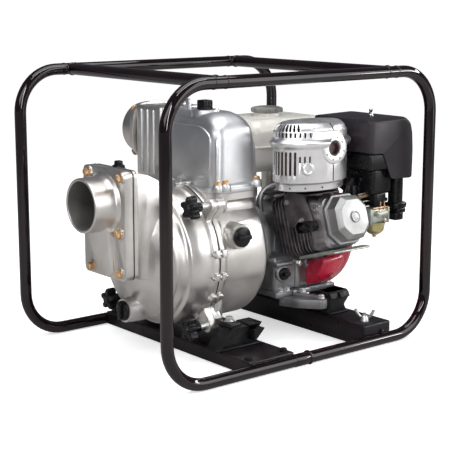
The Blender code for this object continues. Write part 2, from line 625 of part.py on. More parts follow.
def build_recoil():
    x0, x1 = RECOIL_X
    shell = [(x0 + GAP, 0), (x0 + GAP, 96), (x0 + 22, 92), (x1 - 6, 72), (x1, 30), (x1, 0)]
    inside = [(x0 - 5, 8), (x0 - 5, 90), (x0 + 19, 88), (x1 - 10, 68), (x1 - 4, 28), (x1 - 4, 8)]
    housing = part("recoil_housing", on_axis(shell), "shroud_red")
    rope_z = AXIS_Z + REEL_R - 2
    cut(housing, on_axis(inside), rod((x0 - 5, AXIS_Y, AXIS_Z), (x0 + 5, AXIS_Y, AXIS_Z), 30),
        rod((REEL_X, 60, rope_z), (REEL_X, 140, rope_z), 5, 16))
    reel = [(REEL_X - 10, 9), (REEL_X - 10, REEL_R), (REEL_X - 5, REEL_R), (REEL_X - 4, REEL_R - 8),
            (REEL_X + 4, REEL_R - 8), (REEL_X + 5, REEL_R), (REEL_X + 10, REEL_R), (REEL_X + 10, 9)]
    part("starter_reel", on_axis(reel, 28), "black_plastic", (REEL_X, AXIS_Y, AXIS_Z))
    centre = Vector((REEL_X, GRIP_Y, rope_z))
    handle = block(centre + Vector((-9, 12, -38)), centre + Vector((9, 34, 38)), 7.0, 2)
    grip = part("starter_grip", handle, "black_plastic", centre)
    fuse(grip, turned([(0, 0), (0, 7), (18, 12), (18, 0)], 16, centre, Y_AXIS))


def ellipse(a, b, z, centre, count=32):
    return [(centre.x + a * math.cos(math.tau * k / count),
             centre.y + b * math.sin(math.tau * k / count), z) for k in range(count)]


def build_muffler():
    base, top = MUFFLER.z, MUFFLER.z + SHIELD_H
    sections = ((base + 8, 70, 40), (base + 12, 80, 50), (top - 16, 80, 50), (top - 10, 70, 40))
    body = [ellipse(a, b, z, MUFFLER) for z, a, b in sections]
    muffler = part("muffler", lofted(body), "muffler_steel")
    fuse(muffler, rod((EXHAUST.x, MUFFLER.y, EXHAUST.z), EXHAUST + 2 * Y_AXIS, 15, 20))
    cut(muffler, rod((EXHAUST.x, MUFFLER.y - 10, EXHAUST.z), EXHAUST - 10 * Y_AXIS, 12, 20))
    skin = [ellipse(SHIELD_A - inset, SHIELD_B - inset, z, MUFFLER)
            for z, inset in ((base, 0), (top - 20, 0), (top - 3, 14), (top, 24))]
    hollow = [ellipse(SHIELD_A - inset, SHIELD_B - inset, z, MUFFLER)
              for z, inset in ((base - 5, 3), (top - 21, 3), (top - 6, 15), (top - 4, 25))]
    shield = part("muffler_shield", lofted(skin), "shield_steel")
    cut(shield, lofted(hollow), rod(EXHAUST + 30 * Y_AXIS, EXHAUST - 20 * Y_AXIS, 22, 24))


def build_carburettor():
    body = part("carburettor", block(CARB - Vector((24, 20, 22)), CARB + Vector((24, 20, 20)), 4.0, 2),
                "carb_alloy")
    fuse(body, rod(CARB - Vector((46, 0, 0)), CARB, 15, 24))
    part("float_bowl", turned([(0, 0), (0, 12), (4, 19), (24 - GAP, 21), (24 - GAP, 0)], 32,
                              CARB - 46 * Z_AXIS), "gold_zinc")
    choke = part("choke_lever", block(CHOKE + Vector((0, -5, -6)), CHOKE + Vector((3, 5, 30)), 1.0, 1),
                 "black_plastic", CHOKE)
    fuse(choke, rod(CHOKE + Vector((0.1, 0, 0)), CHOKE + Vector((6, 0, 0)), 8, 16),
         block(CHOKE + Vector((1, -5, 24)), CHOKE + Vector((10, 5, 30)), 1.0, 1))
    tap = part("fuel_valve_lever", rod(FUEL_VALVE, FUEL_VALVE - 6 * Y_AXIS, 7, 16), "black_plastic",
               FUEL_VALVE)
    fuse(tap, block(FUEL_VALVE + Vector((-4, -10, -4)), FUEL_VALVE + Vector((26, -3, 4)), 1.0, 1))


def build_controls():
    bracket = part("control_bracket", block((212, -170, 288), (312, -166, 338), 1.0, 1), "rail_paint")
    fuse(bracket, block((212, -170, 296), (217, -156, 338)),
         block((280, -172, 296), (304, -158, 330), 1, 1))
    cut(bracket, block((234, -180, 296), (262, -160, 312)))
    arm = block(THROTTLE + Vector((-7, 0, -8)), THROTTLE + Vector((7, 3, 34)), 1, 1)
    lever = part("throttle_lever", arm, "black_plastic", THROTTLE)
    fuse(lever, block(THROTTLE + Vector((-10, -8, 24)), THROTTLE + Vector((10, 2, 34)), 2, 1))
    knob = part("engine_switch", turned([(0, 0), (0, 8), (6, 8), (6, 0)], 20, SWITCH, X_AXIS),
                "black_plastic", SWITCH)
    fuse(knob, block(SWITCH + Vector((4, -2.5, -8)), SWITCH + Vector((12, 2.5, 8)), 1, 1))
    threaded_plug("oil_filler_cap", (OIL_CAP.x, BLOCK_FRONT, OIL_CAP.z), -Y_AXIS, 14, 18, 9, 0.2, 17)


def build_air_cleaner():
    low, high = CLEANER_LOW, CLEANER_HIGH
    outline = [(low.x, CLEANER_SPLIT), (low.x + 38, CLEANER_SPLIT), (low.x + 68, low.z + 3),
               (high.x - 1, low.z), (high.x, CLEANER_SPLIT), (high.x - 4, 450), (high.x - 12, 472),
               (high.x - 28, high.z), (low.x, high.z - 2)]
    hollow = [(low.x + 3, 300), (high.x - 4, 300), (high.x - 3.5, CLEANER_SPLIT), (high.x - 7, 449),
              (high.x - 15, 469), (high.x - 30, high.z - 4), (low.x + 3, high.z - 5)]
    stud = Vector((*CLEANER_STUD.xy, 0))
    lid = part("air_cleaner_cover", prism(outline, low.y, high.y, "Y"), "cleaner_plastic")
    cut(lid, prism(hollow, low.y + 3, high.y - 3, "Y"),
        rod(stud + 450 * Z_AXIS, stud + 500 * Z_AXIS, 4.6, 12))
    tray_top = Vector((high.x - 4.5, high.y - 3.5, CLEANER_SPLIT - GAP))
    body = block((low.x + 3.5, low.y + 3.5, 364), tray_top, 3, 1)
    tray = part("air_cleaner_base", body, "black_plastic")
    fuse(tray, rod(stud + 405 * Z_AXIS, stud + (high.z + 12) * Z_AXIS, 3.5, 10),
         block((248, -208, CARB.z + 20 + GAP), (280, -184, 403), 4, 1),
         block((304, -214, 285), (336, -188, 403), 4, 1),
         block((300, -218, 258), (346, -184, 290), 6, 1))
    element = part("filter_element", block((232, -203, CLEANER_SPLIT), (330, -66, 462), 18, 3,
                                           upright_only=True), "filter_foam")
    cut(element, rod(stud + 400 * Z_AXIS, stud + 480 * Z_AXIS, 6, 12))
    seat = stud + (high.z + GAP) * Z_AXIS
    nut = part("air_cleaner_wing_nut", turned([(0, 0), (0, 8), (8, 6), (8, 0)], 12, seat), "steel", seat)
    wing = [(4, 2), (17, 12), (14, 17), (2, 8)]
    fuse(nut, *[prism([(seat.x + side * a, seat.z + b) for a, b in wing], seat.y - 1.5, seat.y + 1.5, "Y")
                for side in (1, -1)])
    cut(nut, rod(seat - 5 * Z_AXIS, seat + 20 * Z_AXIS, 3.9, 10))


def build_tank():
    tank = part("fuel_tank", block(TANK_LOW, TANK_HIGH, 26.0, 3), "tank_white")
    seam = (TANK_LOW.z + TANK_HIGH.z) / 2
    legs = [block((x, y, 276 + GAP), (x + 18, y + 22, 362)) for x in (95, 180) for y in (30, 76)]
    lip = Vector((6, 6, 0))
    fuse(tank, block((*(TANK_LOW - lip).xy, seam - 2), (*(TANK_HIGH + lip).xy, seam + 2), 24.0, 3,
                     upright_only=True),
         rod(FUEL_NECK - 14 * Z_AXIS, FUEL_NECK, 30, 32), *legs)
    outline = []
    for k in range(40):
        angle = math.tau * k / 40
        reach = 36.0 if k % 2 else 34.0
        outline.append((FUEL_NECK.x + reach * math.cos(angle), FUEL_NECK.y + reach * math.sin(angle)))
    part("fuel_cap", prism(outline, FUEL_NECK.z + GAP, FUEL_NECK.z + 16, "Z"), "cap_plastic",
         FUEL_NECK)


def build_engine():
    build_crankcase()
    build_cylinder()
    build_ignition()
    build_rotor()
    build_shroud()
    build_recoil()
    build_muffler()
    build_carburettor()
    build_controls()
    build_air_cleaner()
    build_tank()


def main():
    clear_scene()
    for name, (colour, roughness, metallic) in FINISHES.items():
        MATERIALS[name] = material(name, colour, roughness, metallic)
    build_frame()
    build_pump()
    build_engine()


main()
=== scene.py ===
"""Looks of the gas engine trash pump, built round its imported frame.

Sizes below are millimetres unless a name says otherwise, and MM turns them into metres.
"""
import json
from math import copysign, cos, pi, radians, sin, sqrt, tau

import bmesh
import bpy
from mathutils import Matrix, Vector


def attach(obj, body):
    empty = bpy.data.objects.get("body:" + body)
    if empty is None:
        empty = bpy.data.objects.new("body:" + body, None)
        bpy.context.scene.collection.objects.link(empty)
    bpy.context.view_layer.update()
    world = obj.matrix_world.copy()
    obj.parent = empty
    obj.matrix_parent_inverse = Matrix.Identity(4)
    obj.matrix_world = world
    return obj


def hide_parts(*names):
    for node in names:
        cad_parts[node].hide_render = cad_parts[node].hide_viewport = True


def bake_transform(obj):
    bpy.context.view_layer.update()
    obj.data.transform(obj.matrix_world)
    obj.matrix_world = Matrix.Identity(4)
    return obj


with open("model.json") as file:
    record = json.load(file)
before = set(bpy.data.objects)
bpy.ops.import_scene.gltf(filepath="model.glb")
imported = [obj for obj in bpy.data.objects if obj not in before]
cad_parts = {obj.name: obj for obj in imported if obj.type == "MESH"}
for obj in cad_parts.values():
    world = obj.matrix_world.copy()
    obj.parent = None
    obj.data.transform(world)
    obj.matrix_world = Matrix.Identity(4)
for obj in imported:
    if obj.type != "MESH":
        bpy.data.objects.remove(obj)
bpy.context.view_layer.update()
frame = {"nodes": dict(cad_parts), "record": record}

MM = 0.001


def vec(*parts):
    """A vector from its parts."""
    return Vector(parts)


X_AXIS, Y_AXIS, Z_AXIS = vec(1, 0, 0), vec(0, 1, 0), vec(0, 0, 1)

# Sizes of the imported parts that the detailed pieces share.
# The room left between two separate pieces.
GAP = 0.3
# Frame: half length and half width, heights of the low and high tubes, tube and bend radius, cross tubes.
HOOP_X, HOOP_Y, HOOP_LOW, HOOP_HIGH = 355.0, 260.0, 12.5, 587.5
TUBE_R, BEND_R, CROSS_X = 12.5, 90.0, 230.0
PUMP_RAIL_TOP, ENGINE_RAIL_TOP = 30.0, 48.0
# The shaft's axis, the engine's place on it, and the casing's joint face with its rim.
AXIS_Y, AXIS_Z = 20.0, 205.0
CRANK = vec(155.0, AXIS_Y, AXIS_Z)
SPLIT_X, RIM_R, RIM_GAP = -125.0, 157.0, 0.4
# Suction port: height of its axis, end of its neck, the flange's faces, and spans of flange and box.
SUCTION_Z, SUCTION_END, SUCTION_FACE, SUCTION_BACK = 331.0, -361.0, -307.0, -289.0
PLATE_Y, PLATE_Z, BOX_Y = (-58.0, 92.0), (180.0, 404.0), (-54.0, 88.0)
PLATE_CORNER = 14.0
SUCTION = vec(0, AXIS_Y, SUCTION_Z)
# Top of the casing's deck, and the discharge port's axis with its face on the chamber.
DECK_Z = 342.0
OUTLET_X, OUTLET_Z, OUTLET_FACE = -50.0, 449.0, 186.0
OUTLET = vec(OUTLET_X, 0, OUTLET_Z)
# Y and Z of each hand knob, and the X of them all.
KNOBS = {"near_top": (-112.0, 325.0), "near_bottom": (-106.0, 72.0), "far_top": (186.0, 325.0),
    "far_bottom": (186.0, 78.0)}
KNOB_X = -181.0
# Seats of the plugs and of the priming cap.
SIDE_PLUG = vec(-76.0, -142.0, 257.0)
FRONT_DRAIN = vec(-268.0, 10.0, 102.0)
BOX_PLUG = vec(-268.0, AXIS_Y, 400.0)
PRIMER = vec(-60.0, 0.0, 508.0)
# The cylinder leans from the near side up by this angle.
BORE_TILT = radians(17.0)
BORE_AXIS = vec(0.0, -cos(BORE_TILT), sin(BORE_TILT))
BORE_UP = BORE_AXIS.cross(X_AXIS)
BORE_TURN = Matrix((X_AXIS, BORE_UP, BORE_AXIS)).transposed().to_4x4()
# How far the fins and the rocker cover sit off the cylinder's axis.
FIN_RISE = BORE_UP * 10.0
COVER_SHIFT = vec(5.0, 0.0, 3.0)
# Radius of the bolt circles of the adaptor ring and the recoil housing.
BOLT_CIRCLE = 99.0
# The muffler shield: its centre, its half sizes where the slots are, and its foot.
SHIELD_X, SHIELD_Y, SHIELD_REACH, SHIELD_FOOT = 107, -148, (93, 60), 343.0


# --- materials -------------------------------------------------------------------------
# A noise node's values mostly lie in this span, and the two tints meet in the narrower one.
NOISE_SPAN, TINT_SPAN = (0.3, 0.7), (0.35, 0.65)
# Gloss changes in patches this much finer than the tint's.
GLOSS_FINER = 3.1
COAT_ROUGHNESS = 0.08


def fill(node, values):
    """Set a node's inputs, by name or number."""
    for key, value in values.items():
        node.inputs[key].default_value = value


def add_node(tree, kind, values, links):
    """A new shader node with some inputs set and others linked."""
    made = tree.nodes.new("ShaderNode" + kind)
    fill(made, values)
    for key, source in links.items():
        tree.links.new(source, made.inputs[key])
    return made


class Nodes:
    """Short calls for building one material's nodes."""

    def __init__(self, name):
        self.made = bpy.data.materials.new(name)
        self.made.use_nodes = True
        self.tree = self.made.node_tree
        self.shader = self.tree.nodes["Principled BSDF"]
        self.coord = self.tree.nodes.new("ShaderNodeTexCoord").outputs["Object"]

    def link(self, source, target):
        self.tree.links.new(source, target)

    def noise(self, scale, detail=4.0):
        return add_node(self.tree, "TexNoise", {"Scale": scale, "Detail": detail},
            {"Vector": self.coord}).outputs["Fac"]

    def ramp(self, source, low, high):
        node = add_node(self.tree, "ValToRGB", {}, {"Fac": source})
        for stop, place, tint in zip(node.color_ramp.elements, TINT_SPAN, (low, high)):
            stop.position = place
            stop.color = (*tint, 1)
        return node.outputs["Color"]

    def span(self, source, low, high):
        values = {"From Min": NOISE_SPAN[0], "From Max": NOISE_SPAN[1], "To Min": low, "To Max": high}
        return add_node(self.tree, "MapRange", values, {"Value": source}).outputs["Result"]

    def bump(self, source, height, previous=None):
        links = {"Height": source} if previous is None else {"Height": source, "Normal": previous}
        return add_node(self.tree, "Bump", {"Strength": 1.0, "Distance": height * MM},
            links).outputs["Normal"]


def surface(name, dark, light, rough, patches, grain, metallic=0.0, waves=None, coat=0.0, sheen=0.0,
        shine=0.5):
    """A material with two tints in patches, uneven gloss, fine grain and slow waves."""
    build = Nodes(name)
    shader = build.shader
    fill(shader, {"Metallic": metallic, "Specular IOR Level": shine, "Coat Weight": coat,
        "Coat Roughness": COAT_ROUGHNESS, "Sheen Weight": sheen})
    build.link(build.ramp(build.noise(patches, 5.0), dark, light), shader.inputs["Base Color"])
    build.link(build.span(build.noise(patches * GLOSS_FINER), *rough), shader.inputs["Roughness"])
    normal = build.bump(build.noise(grain[0], 2.0), grain[1])
    if waves:
        normal = build.bump(build.noise(waves[0], 2.0), waves[1], normal)
    build.link(normal, shader.inputs["Normal"])
    return build.made


# Each look's dark and light tint, least and most roughness, patch scale, the scale and height (mm) of its
# fine grain, and what else it has: waves are slow bumps, also given as scale and height.
SURFACES = {
    "frame_paint": ((0.0032, 0.0008, 0.0016), (0.0075, 0.0022, 0.0038), (0.035, 0.06), 9.0, (500.0, 0.002),
        dict(waves=(30.0, 0.003), shine=0.5)),
    "rail_paint": ((0.006, 0.004, 0.006), (0.015, 0.011, 0.014), (0.26, 0.42), 14.0, (700.0, 0.02),
        dict(waves=(40.0, 0.08), shine=0.28)),
    "rubber": ((0.006, 0.006, 0.007), (0.016, 0.017, 0.018), (0.34, 0.52), 40.0, (1200.0, 0.012),
        dict(shine=0.22)),
    "cast_alloy": ((0.50, 0.485, 0.465), (0.66, 0.64, 0.615), (0.28, 0.40), 11.0, (1400.0, 0.018),
        dict(metallic=0.94, waves=(48.0, 0.10))),
    "chamber_alloy": ((0.50, 0.51, 0.525), (0.66, 0.665, 0.675), (0.33, 0.43), 9.0, (1400.0, 0.018),
        dict(metallic=0.94, waves=(44.0, 0.10))),
    "engine_alloy": ((0.17, 0.17, 0.175), (0.30, 0.30, 0.31), (0.34, 0.50), 22.0, (1100.0, 0.05),
        dict(metallic=0.85)),
    "head_alloy": ((0.34, 0.325, 0.34), (0.54, 0.52, 0.53), (0.28, 0.42), 24.0, (1100.0, 0.03),
        dict(metallic=0.9)),
    "dark_fins": ((0.085, 0.074, 0.082), (0.26, 0.235, 0.25), (0.30, 0.44), 28.0, (1100.0, 0.05),
        dict(metallic=0.75, shine=0.35)),
    "bright_cover": ((0.29, 0.29, 0.288), (0.39, 0.39, 0.386), (0.44, 0.54), 16.0, (1500.0, 0.010),
        dict(metallic=0.96, waves=(50.0, 0.03))),
    "shield_steel": ((0.66, 0.66, 0.67), (0.84, 0.835, 0.84), (0.27, 0.38), 14.0, (1500.0, 0.006),
        dict(metallic=0.96, waves=(36.0, 0.06))),
    "muffler_steel": ((0.055, 0.040, 0.040), (0.15, 0.105, 0.10), (0.45, 0.65), 30.0, (900.0, 0.04),
        dict(metallic=0.8)),
    "black_plastic": ((0.0035, 0.0032, 0.004), (0.009, 0.0085, 0.010), (0.22, 0.34), 30.0, (1300.0, 0.008),
        dict(shine=0.22)),
    "cleaner_plastic": ((0.017, 0.013, 0.0165), (0.026, 0.021, 0.0255), (0.40, 0.50), 10.0, (2100.0, 0.03),
        dict(shine=0.30)),
    "shroud_red": ((0.36, 0.008, 0.030), (0.48, 0.014, 0.042), (0.22, 0.34), 10.0, (700.0, 0.01),
        dict(waves=(40.0, 0.10), coat=0.3)),
    "steel": ((0.46, 0.46, 0.46), (0.62, 0.62, 0.61), (0.30, 0.42), 60.0, (1500.0, 0.02),
        dict(metallic=1.0)),
    "cast_iron": ((0.10, 0.10, 0.105), (0.19, 0.185, 0.185), (0.50, 0.70), 30.0, (900.0, 0.08),
        dict(metallic=0.8)),
    "gold_zinc": ((0.60, 0.38, 0.20), (0.80, 0.60, 0.40), (0.24, 0.40), 60.0, (1500.0, 0.02),
        dict(metallic=1.0)),
    "bowl_brass": ((0.44, 0.38, 0.17), (0.68, 0.61, 0.35), (0.28, 0.42), 40.0, (1300.0, 0.02),
        dict(metallic=0.9)),
    "carb_alloy": ((0.32, 0.35, 0.325), (0.52, 0.55, 0.50), (0.35, 0.50), 40.0, (1200.0, 0.05),
        dict(metallic=0.8)),
    "tank_white": ((0.76, 0.74, 0.67), (0.85, 0.835, 0.78), (0.24, 0.36), 7.0, (700.0, 0.01),
        dict(waves=(30.0, 0.12), coat=0.35)),
    "cap_plastic": ((0.13, 0.13, 0.118), (0.27, 0.27, 0.25), (0.36, 0.50), 26.0, (1300.0, 0.04), {}),
    "filter_foam": ((0.22, 0.20, 0.16), (0.36, 0.33, 0.27), (0.85, 0.95), 60.0, (400.0, 0.6),
        dict(sheen=0.3)),
    "white_ceramic": ((0.74, 0.72, 0.66), (0.84, 0.82, 0.78), (0.14, 0.24), 30.0, (900.0, 0.01), {}),
}
MATERIALS = {name: surface(name, *looks, **more) for name, (*looks, more) in SURFACES.items()}


# --- shapes, each a bmesh in millimetres -------------------------------------------------
def turn_to(axis):
    """The turn that takes +Z to an axis."""
    return Z_AXIS.rotation_difference(Vector(axis).normalized()).to_matrix().to_4x4()


def placed(shape, matrix):
    bmesh.ops.transform(shape, matrix=matrix, verts=shape.verts)
    return shape


def moved(shape, offset):
    return placed(shape, Matrix.Translation(Vector(offset)))


def loft(rings, closed=False):
    """A skin over a row of rings with the same number of points."""
    shape = bmesh.new()
    rows = [[shape.verts.new(point) for point in ring] for ring in rings]
    spans = list(zip(rows, rows[1:]))
    if closed:
        spans.append((rows[-1], rows[0]))
    else:
        shape.faces.new(rows[0])
        shape.faces.new(rows[-1])
    count = len(rows[0])
    for low, high in spans:
        for k in range(count):
            n = (k + 1) % count
            shape.faces.new((low[k], low[n], high[n], high[k]))
    bmesh.ops.recalc_face_normals(shape, faces=shape.faces)
    return shape


def soften(points, radius, steps, closed):
    """Round the corners of a row of 2-D points. A corner keeps sharp where its sides are short."""
    made = []
    count = len(points)
    for k, point in enumerate(points):
        if not closed and k in (0, count - 1):
            made.append(tuple(point))
            continue
        here, before, after = (Vector(points[i % count]).to_2d() for i in (k, k - 1, k + 1))
        reach = min(radius, (before - here).length * 0.45, (after - here).length * 0.45)
        start = here + (before - here).normalized() * reach
        end = here + (after - here).normalized() * reach
        for step in range(steps + 1):
            t = step / steps
            made.append(tuple(start * (1 - t) ** 2 + here * 2 * t * (1 - t) + end * t ** 2))
    return made


def circle(count):
    """The cosine and sine of each step round a circle."""
    return [(cos(tau * k / count), sin(tau * k / count)) for k in range(count)]


def turned(profile, sides, centre, axis, radius=0.0):
    """Turn (along, radius) points about an axis, with their corners rounded."""
    solid = profile[0][1] <= 0
    points = [p for p in profile if p[1] > 0]
    if radius:
        points = soften(points, radius, 3, not solid)
    rings = [[(r * c, r * s, a) for c, s in circle(sides)] for a, r in points]
    return placed(loft(rings, not solid), Matrix.Translation(Vector(centre)) @ turn_to(axis))


def on_axis(profile, sides, radius=0.0):
    """Turn (X, radius) points about the shaft's axis."""
    return turned(profile, sides, (0, AXIS_Y, AXIS_Z), X_AXIS, radius)


def rod(start, end, radius, sides=28):
    """A cylinder between two points."""
    start, end = Vector(start), Vector(end)
    reach = (end - start).length
    return turned([(0, 0), (0, radius), (reach, radius)], sides, start, end - start)


def through(centre, axis, start, end, radius, sides):
    """A cylinder along an axis and through a centre, between two coordinates."""
    ends = [Vector(centre), Vector(centre)]
    for point, value in zip(ends, (start, end)):
        point["XYZ".index(axis)] = value
    return rod(*ends, radius, sides)


def prism(outline, low, high, axis):
    """Push an outline along an axis. The outline holds the other two coordinates."""
    def lift(a, b, c):
        return {"X": (c, a, b), "Y": (a, c, b), "Z": (a, b, c)}[axis]
    return loft([[lift(a, b, level) for a, b in outline] for level in (low, high)])


def slab(points, corner, steps, low, high, axis):
    """A prism over an outline whose corners are rounded first."""
    return prism(soften(points, corner, steps, True), low, high, axis)


def block(low, high, edge=0.0, steps=3, pick=None):
    """A box with rounded edges. pick chooses the edges from their two end points."""
    low, high = Vector(low), Vector(high)
    shape = bmesh.new()
    bmesh.ops.create_cube(shape, size=1.0)
    placed(shape, Matrix.Translation((low + high) / 2) @ Matrix.Diagonal((*(high - low), 1.0)))
    if edge:
        chosen = [e for e in shape.edges if pick is None or pick(*[v.co for v in e.verts])]
        bmesh.ops.bevel(shape, geom=chosen, offset=edge, segments=steps, profile=0.5, affect="EDGES")
    bmesh.ops.recalc_face_normals(shape, faces=shape.faces)
    return shape


def upright(a, b):
    """Whether an edge with these ends runs up."""
    return abs(a.z - b.z) > 1.0


def smooth_route(points, steps):
    """A curve through the points."""
    points = [Vector(p) for p in points]
    last = len(points) - 1
    made = []
    for k in range(last):
        p0, p1, p2, p3 = (points[min(max(k + i, 0), last)] for i in (-1, 0, 1, 2))
        for step in range(steps):
            t = step / steps
            made.append(0.5 * (2 * p1 + (p2 - p0) * t + (2 * p0 - 5 * p1 + 4 * p2 - p3) * t * t
                + (3 * p1 - p0 - 3 * p2 + p3) * t ** 3))
    return [*made, points[-1]]


def tube(route, radius, sides, closed=False):
    """A round tube along a route, without twist."""
    route = [Vector(p) for p in route]
    count = len(route)
    rings = []
    side = None
    for k, point in enumerate(route):
        ahead = route[(k + 1) % count] if closed else route[min(k + 1, count - 1)]
        behind = route[k - 1] if closed else route[max(k - 1, 0)]
        along = (ahead - behind).normalized()
        if side is None:
            side = along.orthogonal().normalized()
        side = (side - along * side.dot(along)).normalized()
        other = along.cross(side)
        rings.append([point + radius * (c * side + s * other) for c, s in circle(sides)])
    return loft(rings, closed)


def curve(points, steps, radius, sides):
    """A round tube through a few points."""
    return tube(smooth_route(points, steps), radius, sides)


def about(pivot, degrees, axis):
    """A turn about a point."""
    turn = Matrix.Rotation(radians(degrees), 4, axis)
    return Matrix.Translation(pivot) @ turn @ Matrix.Translation(-pivot)


def joined(*shapes):
    """Several shapes in one mesh, as they lie."""
    whole = bmesh.new()
    for shape in shapes:
        mesh = bpy.data.meshes.new("joining")
        shape.to_mesh(mesh)
        whole.from_mesh(mesh)
        bpy.data.meshes.remove(mesh)
        shape.free()
    return whole


def hex_bolt(seat, out, across, height, washer=0.0):
    """A hexagon head with a chamfered top, on a washer."""
    seat, out = Vector(seat), Vector(out)
    half, thick = across / sqrt(3), 1.6
    shapes = []
    if washer:
        shapes.append(turned([(0, 0), (0, washer), (thick, washer)], 28, seat, out, 0.5))
        seat = seat + out.normalized() * thick
    head = [(0, 0), (0, half), (height * 0.8, half), (height, half * 0.82)]
    top = [(height * 0.6, 0), (height * 0.6, half * 0.7), (height + 0.4, half * 0.66)]
    return joined(*shapes, turned(head, 6, seat, out), turned(top, 20, seat, out))


# --- pieces ------------------------------------------------------------------------------
# Edges sharper than this many degrees are eased, and edges sharper than SHARP keep their crease.
EASED, SHARP = 38.0, 32.0


def raw(name, shape):
    """A shape as an object, in metres."""
    mesh = bpy.data.meshes.new(name)
    placed(shape, Matrix.Diagonal((MM, MM, MM, 1.0)))
    shape.to_mesh(mesh)
    shape.free()
    made = bpy.data.objects.new(name, mesh)
    bpy.context.scene.collection.objects.link(made)
    return made


def settle(made, helpers):
    """Keep what the modifiers make, and drop them with their helpers."""
    bpy.context.view_layer.update()
    graph = bpy.context.evaluated_depsgraph_get()
    mesh = bpy.data.meshes.new_from_object(made.evaluated_get(graph))
    old = made.data
    made.modifiers.clear()
    made.data = mesh
    bpy.data.meshes.remove(old)
    for helper in helpers:
        data = helper.data
        bpy.data.objects.remove(helper)
        bpy.data.meshes.remove(data)


def piece(name, shape, finish, replaces=(), body="root", own=None, fuse=(), cut=(), bevel=0.0, angle=SHARP):
    """One visible piece: a shape, or several, with others fused in or cut out, and its edges eased.

    own names a CAD node that the piece replaces and whose body, of the same name, it rides.
    """
    if own:
        replaces, body = [own], own
    made = raw(name, joined(*shape) if isinstance(shape, list) else shape)
    helpers = []
    for operation, shapes in (("UNION", fuse), ("DIFFERENCE", cut)):
        for number, other in enumerate(shapes):
            helper = raw(f"{name}_helper_{operation.lower()}_{number}", other)
            step = made.modifiers.new(helper.name, "BOOLEAN")
            step.object = helper
            step.operation = operation
            step.solver = "EXACT"
            helpers.append(helper)
    if bevel:
        ease = made.modifiers.new("ease", "BEVEL")
        ease.width = bevel * MM
        ease.segments = 2
        ease.limit_method = "ANGLE"
        ease.angle_limit = radians(EASED)
        ease.use_clamp_overlap = True
    if made.modifiers:
        settle(made, helpers)
    made.data.materials.clear()
    made.data.materials.append(MATERIALS[finish])
    for face in made.data.polygons:
        face.material_index = 0
    made.data.shade_smooth()
    made.data.set_sharp_from_angle(angle=radians(angle))
    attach(made, body)
    if replaces:
        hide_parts(*replaces)
    return made


def bolt_piece(name, finish, seats, out, *sizes):
    """One piece of equal bolts."""
    piece(name, [hex_bolt(seat, out, *sizes) for seat in seats], finish)


def repaint():
    """Every CAD node that still shows gets its slot's detailed material."""
    slots = {entry["node"]: entry["material_slot"] for entry in frame["record"]["subparts"]}
    for node, made in frame["nodes"].items():
        for socket in made.material_slots:
            socket.material = MATERIALS[slots[node]]


# --- stage -------------------------------------------------------------------------------
# The camera that took the photograph, solved from the frame's edges. Its place is in metres.
CAMERA_AZIMUTH, CAMERA_ELEVATION = radians(-39.06), radians(10.96)
CAMERA_PLACE, CAMERA_LENS, SENSOR_WIDTH = (-1.6443, -2.0198, 0.7560), 97.2024, 36.0

# Each light's place and aim, its two sides and its power. The streaks are meant for the tubes and only show
# as shine, on every glossy surface.
LIGHTS = {
    "key": ((-2.1, -1.0, 1.7), (0, 0, 0.3), 1.5, 1.6, 22.0),
    "fill": ((1.4, -2.2, 1.2), (0.1, 0, 0.3), 1.9, 1.9, 33.0),
    "top": ((0.1, -0.1, 2.3), (0, 0, 0.2), 2.0, 1.2, 24.0),
    "left_streak": ((-1.3, -2.2, 1.3), (0, 0, 0.3), 0.18, 2.0, 30.0),
    "right_streak": ((2.2, -1.2, 1.2), (0, 0, 0.3), 0.18, 2.0, 30.0),
    "top_streak": ((0.0, -0.9, 2.3), (0, 0, 0.3), 2.0, 0.12, 16.0),
}
# The floor's reach in metres, its glow for the camera, its two tints and what a shiny surface sees of it.
FLOOR_REACH, FLOOR_GLOW = 120.0, 0.54
FLOOR_TINTS, FLOOR_MIRRORED = ((0.965, 0.965, 0.97), (0.98, 0.98, 0.98)), (0.60, 0.59, 0.58, 1.0)
# What the world shows to most rays, to the rays of shiny surfaces, and to the camera.
WORLD_TONES = {
    "other rays": (0.50, 0.50, 0.51),
    "Is Glossy Ray": (0.12, 0.125, 0.14),
    "Is Camera Ray": (1.04, 1.04, 1.04),
}


def build_camera():
    azimuth, elevation = CAMERA_AZIMUTH, CAMERA_ELEVATION
    back = vec(sin(azimuth) * cos(elevation), -cos(azimuth) * cos(elevation), sin(elevation))
    right = vec(cos(azimuth), sin(azimuth), 0.0)
    data = bpy.data.cameras.new("camera")
    data.sensor_width = SENSOR_WIDTH
    data.lens = CAMERA_LENS
    data.clip_end = 500.0
    made = bpy.data.objects.new("camera", data)
    turn = Matrix((right, back.cross(right), back)).transposed().to_4x4()
    made.matrix_world = Matrix.Translation(CAMERA_PLACE) @ turn
    bpy.context.scene.collection.objects.link(made)
    bpy.context.scene.camera = made


def soft_light(name, place, aim, width, height, power):
    data = bpy.data.lights.new(name, "AREA")
    data.shape = "RECTANGLE"
    data.size, data.size_y = width, height
    data.energy = power
    made = bpy.data.objects.new(name, data)
    place, aim = Vector(place), Vector(aim)
    made.matrix_world = Matrix.Translation(place) @ turn_to(place - aim)
    made.visible_diffuse = not name.endswith("streak")
    bpy.context.scene.collection.objects.link(made)


